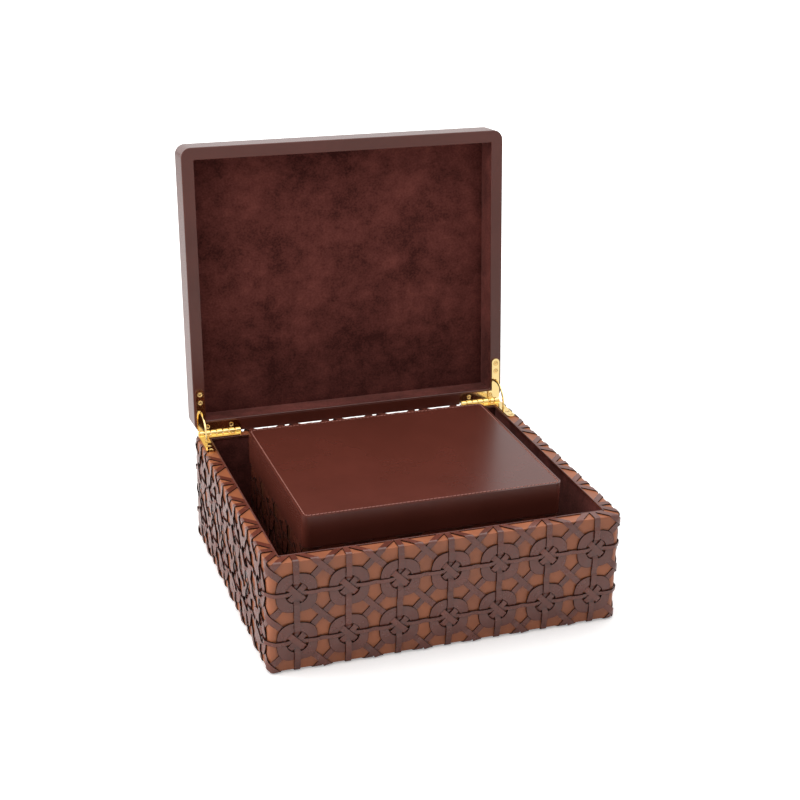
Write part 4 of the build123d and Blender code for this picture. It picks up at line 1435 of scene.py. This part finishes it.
@dataclass
class StopHinges:
    """Two brass stop hinges. Leaves are modelled with the pin along X at the origin and the rim towards -Y."""

    pin_y: float = 129.25
    pin_z: float = 99.2
    barrel: float = 2.1
    pin: float = 1.0
    plate: float = 1.6
    plate_face: float = 0.6  # from the pin's axis plane to the plate
    outer: float = 147.9
    reach: float = 40.0
    length: float = 41.0
    arm: float = 7.6
    back: float = 9.5
    knuckles: int = 7
    gap: float = 0.2
    side_screws: tuple[float, ...] = (28.8, 36.4)
    back_screws: tuple[float, ...] = (9.5, 31.3)
    back_screw_offset: float = 5.6
    head: float = 2.3
    shank: float = 1.3
    stay_radius: float = 19.0
    stay_bar: float = 2.4
    stay_plate: float = 1.2
    stay_angles: tuple[float, float] = (-10.5, 105.7)
    lid_angle: float = 95.2

    @property
    def arm_x(self) -> float:
        """Middle of the right-hand arm."""
        return self.outer - self.arm / 2

    @property
    def barrel_x(self) -> float:
        """Middle of the right-hand barrel."""
        return self.outer - self.reach / 2

    @property
    def step(self) -> float:
        """Share of the barrel that one knuckle takes."""
        return self.reach / self.knuckles

    def knuckle_x(self, number: int) -> float:
        """Middle of one knuckle."""
        return self.outer - self.reach + (number + 0.5) * self.step

    def screw_places(self) -> list[tuple[float, float]]:
        """Where the four screws of the right-hand leaf stand."""
        on_back = [(self.outer - way, -self.back_screw_offset) for way in self.back_screws]
        return [(self.arm_x, -way) for way in self.side_screws] + on_back

    def cylinder(
        self, name: str, radius: float, length: float, centre: Sequence[float], sides: int = 32
    ) -> bpy.types.Object:
        """A round bar along X.

        Args:
            name: Name of the bar.
            radius: Its radius.
            length: Its length.
            centre: Its middle.
            sides: Faces round it.

        Returns:
            The bar.
        """
        deselect()
        bpy.ops.mesh.primitive_cylinder_add(
            vertices=sides, radius=radius, depth=length, location=centre, rotation=(0, math.pi / 2, 0)
        )
        return added(name)

    def both_sides(self, right: bpy.types.Object, name: str) -> bpy.types.Object:
        """Adds the left-hand twin of a right-hand piece.

        Args:
            right: The right-hand piece.
            name: Name of the pair.

        Returns:
            The pair.
        """
        left = copy_of(right)
        left.data.transform(Matrix.Scale(-1, 4, (1, 0, 0)))
        left.data.flip_normals()
        return join([right, left], name)

    def plate_of(self, up: int, own: Sequence[int]) -> bpy.types.Object:
        """The L-shaped plate of a right-hand leaf: round-ended arm, wing, stay slot and countersinks.

        Args:
            up: 1 if the plate lies above the pin's plane, and -1 if below.
            own: Numbers of the knuckles that belong to this leaf.

        Returns:
            The plate, with room for the other leaf's knuckles.
        """
        middle = up * (self.plate_face + self.plate / 2)
        arm = block("arm", (self.arm, self.length, self.plate), (self.arm_x, -self.length / 2, middle))
        pick(arm, False, lambda m, d: abs(d.z) > 0.9 and m.y < -self.length + 1)
        bpy.ops.mesh.bevel(offset=self.arm / 2 - 0.02, segments=10, affect="EDGES")
        bpy.ops.object.mode_set(mode="OBJECT")
        wing = block("wing", (self.reach, self.back, self.plate), (self.barrel_x, -self.back / 2, middle))
        pick(wing, False, lambda m, d: abs(d.z) > 0.9 and m.y < -self.back + 1 and m.x < self.outer - 5)
        bpy.ops.mesh.bevel(offset=5.0, segments=8, affect="EDGES")
        bpy.ops.object.mode_set(mode="OBJECT")
        modify(arm, "BOOLEAN", operation="UNION", solver="EXACT", object=wing)
        bpy.data.objects.remove(wing)
        cut(arm, self.cylinder("barrel_room", self.barrel - 0.15, self.reach + 4, (self.barrel_x, 0, 0)))
        for number in range(self.knuckles):
            if number not in own:
                cut(arm, block("room", (self.step + self.gap, 4.6, 6), (self.knuckle_x(number), 0, 0)))
        inner = math.sqrt((self.stay_radius - self.stay_bar / 2) ** 2 - 2.2**2) - 0.3
        outer = self.stay_radius + self.stay_bar / 2 + 0.3
        slot = (self.stay_plate + 0.6, outer - inner, 8)
        cut(arm, block("stay_slot", slot, (self.arm_x, -(inner + outer) / 2, middle), 0.5, 3))
        radii = (self.head + 0.1, self.shank)[::up]
        for x, y in self.screw_places():
            deselect()
            bpy.ops.mesh.primitive_cone_add(
                vertices=32, radius1=radii[0], radius2=radii[1], depth=self.plate + 0.02, location=(x, y, middle)
            )
            cut(arm, added("countersink"))
        soften(arm, 0.32, 3, 50)
        return arm

    def leaves(self, kind: str, up: int, own: Sequence[int], place: Matrix) -> None:
        """Both leaves of one kind with their knuckles and screws.

        Args:
            kind: "base" or "lid".
            up: 1 if the plate lies above the pin's plane, and -1 if below.
            own: Numbers of the knuckles that belong to this leaf.
            place: Takes the leaf to the frame.
        """
        parts = [self.plate_of(up, own)]
        for number in own:
            length = self.step - 3.5 * self.gap
            knuckle = self.cylinder("knuckle", self.barrel, length, (self.knuckle_x(number), 0, 0))
            soften(knuckle, 0.5, 3)
            parts.append(knuckle)
        both = self.both_sides(join(parts, f"hinge_{kind}_leaf"), f"hinge_{kind}_leaves_polished")
        finish_piece(both, kind, (hinge_brass,), (f"hinge_{kind}_leaves",), place, flat_faces=True)
        screws = join([self.screw(x, y, up) for x, y in self.screw_places()], "screws")
        both = self.both_sides(screws, f"hinge_{kind}_screws_turned")
        finish_piece(both, kind, (screw_brass,), (f"hinge_{kind}_screws",), place)

    def screw(self, x: float, y: float, up: int) -> bpy.types.Object:
        """A countersunk screw with a dished, slotted head whose face looks back past the pin's plane.

        Args:
            x: Its place along the pin.
            y: Its place away from the pin.
            up: 1 if its plate lies above the pin's plane, and -1 if below.

        Returns:
            The screw.
        """
        deselect()
        bpy.ops.mesh.primitive_cylinder_add(vertices=32, radius=self.head, depth=1.2, location=(0, 0, -0.6))
        piece = added("screw")
        pick(piece, True, lambda m, n: n.z < -0.9)
        bpy.ops.transform.resize(value=(0.6, 0.6, 1))
        bpy.ops.object.mode_set(mode="OBJECT")
        pick(piece, True, lambda m, n: n.z > 0.9)
        for thickness, depth in ((0.45, 0.0), (0.35, -0.28), (0.5, 0.12)):
            bpy.ops.mesh.inset(thickness=thickness, depth=depth)
        bpy.ops.object.mode_set(mode="OBJECT")
        slot = block("slot", (0.55, 3.2, 0.8), (0, 0, -0.25))
        slot.data.transform(Matrix.Rotation(0.4 + x * 0.7 + y, 4, "Z"))
        cut(piece, slot)
        soften(piece, 0.1, 2, 30)
        facing = Matrix.Identity(4) if up < 0 else Matrix.Rotation(math.pi, 4, "X")
        piece.data.transform(Matrix.Translation((x, y, up * self.plate_face)) @ facing)
        return piece

    def pins(self) -> None:
        """The two pins, domed at their ends."""
        pin = self.cylinder("pin", self.pin, self.reach, (self.barrel_x, self.pin_y, self.pin_z), 24)
        soften(pin, 0.4, 3)
        both = self.both_sides(pin, "hinge_pins_turned")
        finish_piece(both, "base", (hinge_brass,), ("hinge_pins",))

    def stay(self, side: str, sign: int) -> None:
        """One curved stay, spun about the pin, with a hook at each end.

        Args:
            side: "left" or "right".
            sign: -1 at the left and 1 at the right.
        """
        low, high = (math.radians(a) for a in self.stay_angles)
        deselect()
        bpy.ops.mesh.primitive_plane_add(size=1, location=(0, 0, 0))
        piece = added(f"{side}_stay_polished", (self.stay_plate, self.stay_bar, 1))
        start = np.array([[sign * self.arm_x, self.pin_y, self.pin_z]])

        def at_start(p: np.ndarray) -> np.ndarray:
            """Stands the bar's section at the base end of the arc."""
            reach = self.stay_radius + p[:, 1]
            return start + np.column_stack([p[:, 0], -reach * math.cos(low), reach * math.sin(low)])

        reshape(piece, at_start)
        choose(piece)
        bpy.ops.object.mode_set(mode="EDIT")
        bpy.ops.mesh.select_all(action="SELECT")
        bpy.ops.mesh.spin(steps=56, angle=high - low, center=tuple(start[0]), axis=(1, 0, 0))
        bpy.ops.object.mode_set(mode="OBJECT")
        spread = coordinates(piece) - start
        angles = np.arctan2(spread[:, 2], -spread[:, 1])
        reach = np.hypot(spread[:, 1], spread[:, 2])
        hooked = (reach > self.stay_radius) & ((angles < low + 0.052) | (angles > high - 0.052))

        def hooks(p: np.ndarray) -> np.ndarray:
            """Stretches the ends outwards into hooks."""
            factor = np.where(hooked, (reach + 1.0) / reach, 1.0)[:, None]
            return start + (p - start) * np.column_stack([np.ones(len(p)), factor[:, 0], factor[:, 0]])

        reshape(piece, hooks)
        close_holes(piece)
        soften(piece, 0.2, 2, 50)
        finish_piece(piece, f"{side}_stay", (hinge_brass,), (f"{side}_stay",))

    def build(self) -> None:
        """Builds and dresses both hinges."""
        at_pin = Matrix.Translation((0, self.pin_y, self.pin_z))
        self.leaves("base", -1, range(0, self.knuckles, 2), at_pin)
        self.leaves("lid", 1, range(1, self.knuckles, 2), at_pin @ swung_open(self.lid_angle))
        self.pins()
        self.stay("left", -1)
        self.stay("right", 1)


# ---------------------------------------------------------------------------
# Inner box and its lid
# ---------------------------------------------------------------------------


@dataclass
class InnerBox:
    """The lift-out box: tan leather darkened as painted shade, woven like the outer one, with a suede tray inside."""

    width: float = 224.0
    depth: float = 182.0
    middle_y: float = -3.0
    floor: float = 10.2
    body_height: float = 77.8
    corner: float = 6.0
    strap_room: float = 1.6
    leather: float = 1.2
    board: float = 5.0
    liner: float = 2.0
    lip: float = 8.0

    @property
    def tray(self) -> tuple[float, float]:
        """Width and depth of the suede tray's outside."""
        walls = 2 * (self.strap_room + self.leather + self.board)
        return self.width - walls, self.depth - walls

    def cover(self) -> None:
        """Tan leather round the body, darkened as painted shade, with a bead round its top edge."""
        width, depth = self.width - 2 * self.strap_room, self.depth - 2 * self.strap_room
        low, high = self.floor + 1.0, self.floor + self.body_height
        middle = (0, self.middle_y, (low + high) / 2)
        piece = block("inner_box_leather", (width, depth, high - low), middle, self.corner)
        inner = 2 * self.leather
        inside = (width - inner, depth - inner, high - low - self.leather)
        middle = (0, self.middle_y, (low + high - self.leather) / 2 - 0.01)
        cut(piece, block("hollow", inside, middle, self.corner - self.leather))
        cut(piece, block("mouth", (*self.tray, 6), (0, self.middle_y, high)))
        soften(piece, 0.5, 2)
        nodes = ("inner_box_leather_cover",)
        # The tan cover gets a dark colour as painted shade of the well it stands in
        finish_piece(piece, "inner_box", (shade_darkened_calf,), nodes, flat_faces=True)
        edging = bead("inner_box_bead", width + 0.4, depth + 0.4, self.middle_y, self.corner + 0.2, high - 1.0, 0.7)
        finish_piece(edging, "inner_box", (piping_calf,))

    def linings(self) -> None:
        """Suede tray: four walls that stand above the rim, and a floor."""
        low, high = self.floor + 5.0, self.floor + self.body_height + self.lip
        middle = (0, self.middle_y, (low + high) / 2)
        tray = block("inner_box_tray_suede", (*self.tray, high - low), middle, 1.0, 3)
        inner = (self.tray[0] - 2 * self.liner, self.tray[1] - 2 * self.liner)
        cut(tray, block("tray_hollow", (*inner, high - low + 4), middle, 1.0, 3))
        soften(tray, 0.7, 3, 60)
        lay_suede(tray, Matrix.Identity(4), "inner_box", ("inner_box_liner",))
        pad = lining_pad("inner_box_floor_suede", (inner[0] + 1.0, inner[1] + 1.0, 1.5), 0.5)
        turn = Matrix.Translation((0, self.middle_y, low)) @ NAP_UP
        lay_suede(pad, turn, "inner_box", ("inner_box_floor_lining",))

    def lattice(self) -> None:
        """The same weave as the outer box, thinner and stopping below the rim."""
        low, high = self.floor + 1.0, self.floor + self.body_height
        middle = (low + high) / 2
        woven = Lattice(
            prefix="inner_lattice",
            body="inner_box",
            width=self.width - 2 * self.strap_room,
            depth=self.depth - 2 * self.strap_room,
            bottom=low,
            top=high - 2.2,
            corner=self.corner,
            columns=18,
            row_heights=(middle - 21.2, middle + 21.2),
            row_pitch=42.4,
            middle_y=self.middle_y,
            thickness=0.5,
            rise=0.5,
            strap=5.4,
            slant=6.4,
            ring_across=35.0,
            edge_dye_and_shade=0.14,
            seed=11,
        )
        woven.rings(())
        woven.uprights(("inner_box_upright_straps",))
        woven.levels(("inner_box_level_straps",))
        woven.slanting(1, ())
        woven.slanting(-1, ())

    def build(self) -> None:
        """Builds and dresses the inner box."""
        self.cover()
        self.linings()
        self.lattice()


@dataclass
class InnerLid:
    """The lift-off lid: smooth dark calf with a saddle-stitched top."""

    width: float = 224.0
    depth: float = 182.0
    middle_y: float = -3.0
    low: float = 88.2
    height: float = 27.5
    corner: float = 6.0
    leather: float = 1.2
    board: float = 5.0
    suede: float = 1.0
    stitch_pitch: float = 3.3
    stitch_inset: float = 2.4
    stitch_length: float = 2.3
    stitch_radius: float = 0.28
    stitch_slant: float = 0.16  # how far each stitch turns off the line, in radians

    def cover(self) -> None:
        """Leather shell with a fine creased line round the stitched top."""
        middle, inner = (0, self.middle_y, self.low + self.height / 2), 2 * self.leather
        piece = block("inner_lid_leather", (self.width, self.depth, self.height), middle, self.corner, 8)
        pick(piece, True, lambda m, n: n.z > 0.9)
        for thickness, depth in ((0.01, 0.0), (1.5, 0.0), (0.45, -0.3), (0.9, 0.16), (0.5, 0.12)):
            bpy.ops.mesh.inset(thickness=thickness, depth=depth)
        bpy.ops.object.mode_set(mode="OBJECT")
        inside = (self.width - inner, self.depth - inner, self.height - inner)
        cut(piece, block("hollow", inside, middle, self.corner - self.leather))
        mouth = inner + 2 * (self.board + self.suede)
        cut(piece, block("mouth", (self.width - mouth, self.depth - mouth, 6), (0, self.middle_y, self.low)))
        soften(piece, 0.9, 4, 60)
        nodes = ("inner_lid_leather_cover",)
        finish_piece(piece, "inner_lid", (lid_calf,), nodes, flat_faces=True)

    def stitches(self) -> None:
        """Saddle stitches round the top, each one a short slanting thread."""
        deselect()
        bpy.ops.mesh.primitive_cylinder_add(
            vertices=6, radius=self.stitch_radius, depth=self.stitch_length, rotation=(0, math.pi / 2, 0)
        )
        pattern = added("stitch_pattern")
        pick(pattern, True, lambda m, n: abs(n.x) > 0.9)
        bpy.ops.mesh.inset(thickness=0.1, depth=0.12)
        bpy.ops.object.mode_set(mode="OBJECT")
        high = self.low + self.height
        path = Lattice(
            prefix="stitch",
            body="inner_lid",
            width=self.width - 2 * self.stitch_inset,
            depth=self.depth - 2 * self.stitch_inset,
            bottom=self.low,
            top=high,
            corner=self.corner - self.stitch_inset,
            columns=1,
            row_heights=(high,),
            row_pitch=1.0,
            middle_y=self.middle_y,
        )
        count = round(path.perimeter / self.stitch_pitch)
        stitches = []
        for number in range(count):
            way = number * path.perimeter / count
            ends = path.wrapped(np.array([[way, high - 20, 0.0], [way + 0.5, high - 20, 0.0]]))
            run = Vector(ends[1] - ends[0])
            turn = Matrix.Rotation(math.atan2(run.y, run.x) + self.stitch_slant, 4, "Z")
            stitch = copy_of(pattern)
            stitch.data.transform(Matrix.Translation((ends[0][0], ends[0][1], high - 0.02)) @ turn)
            stitches.append(stitch)
        bpy.data.objects.remove(pattern)
        finish_piece(join(stitches, "inner_lid_stitches"), "inner_lid", (saddle_thread,))

    def foot(self) -> None:
        """The turned leather roll along the lid's foot."""
        width, depth = self.width - 1.2, self.depth - 1.2
        piece = bead("inner_lid_foot_roll", width, depth, self.middle_y, self.corner - 0.6, self.low + 0.75, 0.62)
        finish_piece(piece, "inner_lid", (piping_calf,))

    def linings(self) -> None:
        """Suede inside the lid."""
        walls = 2 * (self.leather + self.board)
        inner = (self.width - walls, self.depth - walls)
        low, ceiling = self.low + self.leather, self.low + self.height - self.leather - 3.0
        middle = (0, self.middle_y, (low + ceiling) / 2)
        collar = block("inner_lid_wall_suede", (*inner, ceiling - low), middle, 0.8, 2)
        mouth = (inner[0] - 2 * self.suede, inner[1] - 2 * self.suede)
        cut(collar, block("collar_hollow", (*mouth, 40), middle, 0.8, 2))
        soften(collar, 0.3, 2, 60)
        lay_suede(collar, Matrix.Identity(4), "inner_lid", ("inner_lid_wall_lining",))
        pad = lining_pad("inner_lid_panel_suede", (mouth[0] + 0.8, mouth[1] + 0.8, self.suede), 0.3)
        turn = Matrix.Translation((0, self.middle_y, ceiling)) @ NAP_DOWN
        lay_suede(pad, turn, "inner_lid", ("inner_lid_panel_lining",))

    def build(self) -> None:
        """Builds and dresses the inner lid."""
        self.cover()
        self.stitches()
        self.foot()
        self.linings()


# ---------------------------------------------------------------------------
# Studio
# ---------------------------------------------------------------------------


@dataclass
class Studio:
    """White floor and surroundings, soft lamps, and the camera where the photograph was taken."""

    eye: tuple[float, float, float] = (-0.40995, -1.15768, 0.66449)
    right: tuple[float, float, float] = (0.94494, -0.32670, 0.01886)
    up: tuple[float, float, float] = (0.10642, 0.36127, 0.92637)
    forward: tuple[float, float, float] = (0.30946, 0.87335, -0.37615)
    lens: float = 70.25
    front_level: float = 0.12  # the room behind the camera is dim
    back_level: float = 1.0
    floor_glow: float = 0.35  # for the camera only; the rest of its white is lamp light, so its shadow stays
    lamps: tuple[tuple[str, tuple[float, float, float], float, float], ...] = (
        ("top", (0.1, 0.08, 1.5), 2.0, 16.0),
        ("left", (-1.6, 0.0, 0.8), 2.2, 21.0),
        ("right", (1.6, -0.5, 0.8), 1.6, 3.5),
    )

    def camera(self) -> None:
        """Places the camera."""
        data = bpy.data.cameras.new("camera")
        data.lens = self.lens
        data.sensor_width = 36.0
        data.clip_start, data.clip_end = 0.05, 20.0
        camera = bpy.data.objects.new("camera", data)
        bpy.context.scene.collection.objects.link(camera)
        axes = zip(self.right, self.up, (-c for c in self.forward), self.eye)
        camera.matrix_world = Matrix([*[list(row) for row in axes], [0, 0, 0, 1]])
        bpy.context.scene.camera = camera

    def floor(self) -> None:
        """A pale floor, white by its lamp light, that keeps the box's shadow and shows both in the brass."""
        deselect()
        bpy.ops.mesh.primitive_plane_add(size=12, location=(0, 0, -0.0002))
        piece = added("floor")
        material, tree, shader = new_material("white paper floor")
        shader.inputs["Base Color"].default_value = srgb("#f6f5f4")
        shader.inputs["Roughness"].default_value = 0.9
        shader.inputs["Specular IOR Level"].default_value = 0.0
        path = add_node(tree, "ShaderNodeLightPath")
        place = add_node(tree, "ShaderNodeTexCoord").outputs["Object"]
        away = add_node(tree, "ShaderNodeVectorMath", {0: place}, operation="LENGTH").outputs["Value"]
        reach = {"Value": away, "From Min": 0.5, "From Max": 1.6, "To Min": self.floor_glow, "To Max": 1.0}
        share = add_node(tree, "ShaderNodeMapRange", reach).outputs["Result"]
        strength = add_node(tree, "ShaderNodeMath", {0: share, 1: path.outputs["Is Camera Ray"]}, operation="MULTIPLY")
        glow = add_node(tree, "ShaderNodeEmission", {"Color": (1, 1, 1, 1), "Strength": strength.outputs[0]})
        both = add_node(tree, "ShaderNodeAddShader", {0: shader.outputs[0], 1: glow.outputs[0]})
        output = next(node for node in tree.nodes if node.type == "OUTPUT_MATERIAL")
        tree.links.new(both.outputs[0], output.inputs["Surface"])
        piece.data.materials.append(material)

    def surroundings(self) -> None:
        """White behind the box and dim behind the camera; plain white where the camera or a mirror sees it."""
        world = bpy.data.worlds.new("studio")
        bpy.context.scene.world = world
        world.use_nodes = True
        tree = world.node_tree
        tree.nodes.clear()
        direction = add_node(tree, "ShaderNodeTexCoord").outputs["Generated"]
        back = add_node(tree, "ShaderNodeSeparateXYZ", {"Vector": direction}).outputs["Y"]
        level = add_node(
            tree,
            "ShaderNodeMapRange",
            {"Value": back, "From Min": -0.5, "From Max": 0.3, "To Min": self.front_level, "To Max": self.back_level},
            interpolation_type="SMOOTHSTEP",
        ).outputs["Result"]
        path = add_node(tree, "ShaderNodeLightPath").outputs
        seen = path["Is Camera Ray"]
        for kind in ("Is Glossy Ray", "Is Transmission Ray"):
            seen = add_node(tree, "ShaderNodeMath", {0: seen, 1: path[kind]}, operation="MAXIMUM").outputs[0]
        even = add_node(tree, "ShaderNodeBackground", {"Color": (1, 1, 1, 1), "Strength": level})
        white = add_node(tree, "ShaderNodeBackground", {"Color": (1, 1, 1, 1), "Strength": 1.0})
        mixed = add_node(tree, "ShaderNodeMixShader", {0: seen, 1: even.outputs[0], 2: white.outputs[0]})
        add_node(tree, "ShaderNodeOutputWorld", {"Surface": mixed.outputs[0]})

    def lights(self) -> None:
        """Large soft lamps, aimed at the box."""
        for name, place, size, power in self.lamps:
            data = bpy.data.lights.new(name, "AREA")
            data.size = size
            data.energy = power
            lamp = bpy.data.objects.new(name, data)
            bpy.context.scene.collection.objects.link(lamp)
            lamp.location = place
            aim = Vector((0, 0, 0.1)) - Vector(place)
            lamp.rotation_mode = "QUATERNION"
            lamp.rotation_quaternion = aim.to_track_quat("-Z", "Y")

    def build(self) -> None:
        """Sets up the studio."""
        self.camera()
        self.floor()
        self.surroundings()
        self.lights()
        bpy.context.scene.view_settings.view_transform = "Standard"


# ---------------------------------------------------------------------------
# Whole object
# ---------------------------------------------------------------------------


def dress_hidden_nodes() -> None:
    """Gives the boards and felts that stay from the solid model their materials."""
    for name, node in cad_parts.items():
        if not node.hide_render:
            node.data.materials.clear()
            node.data.materials.append(base_felt if name.endswith("felt") else raw_board)


def main() -> None:
    """Builds the sub-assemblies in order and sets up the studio."""
    logging.basicConfig(level=logging.INFO)
    for assembly in (OuterBox(), OuterLid(), StopHinges(), InnerBox(), InnerLid()):
        assembly.build()
    dress_hidden_nodes()
    Studio().build()


if __name__ == "__main__":
    main()
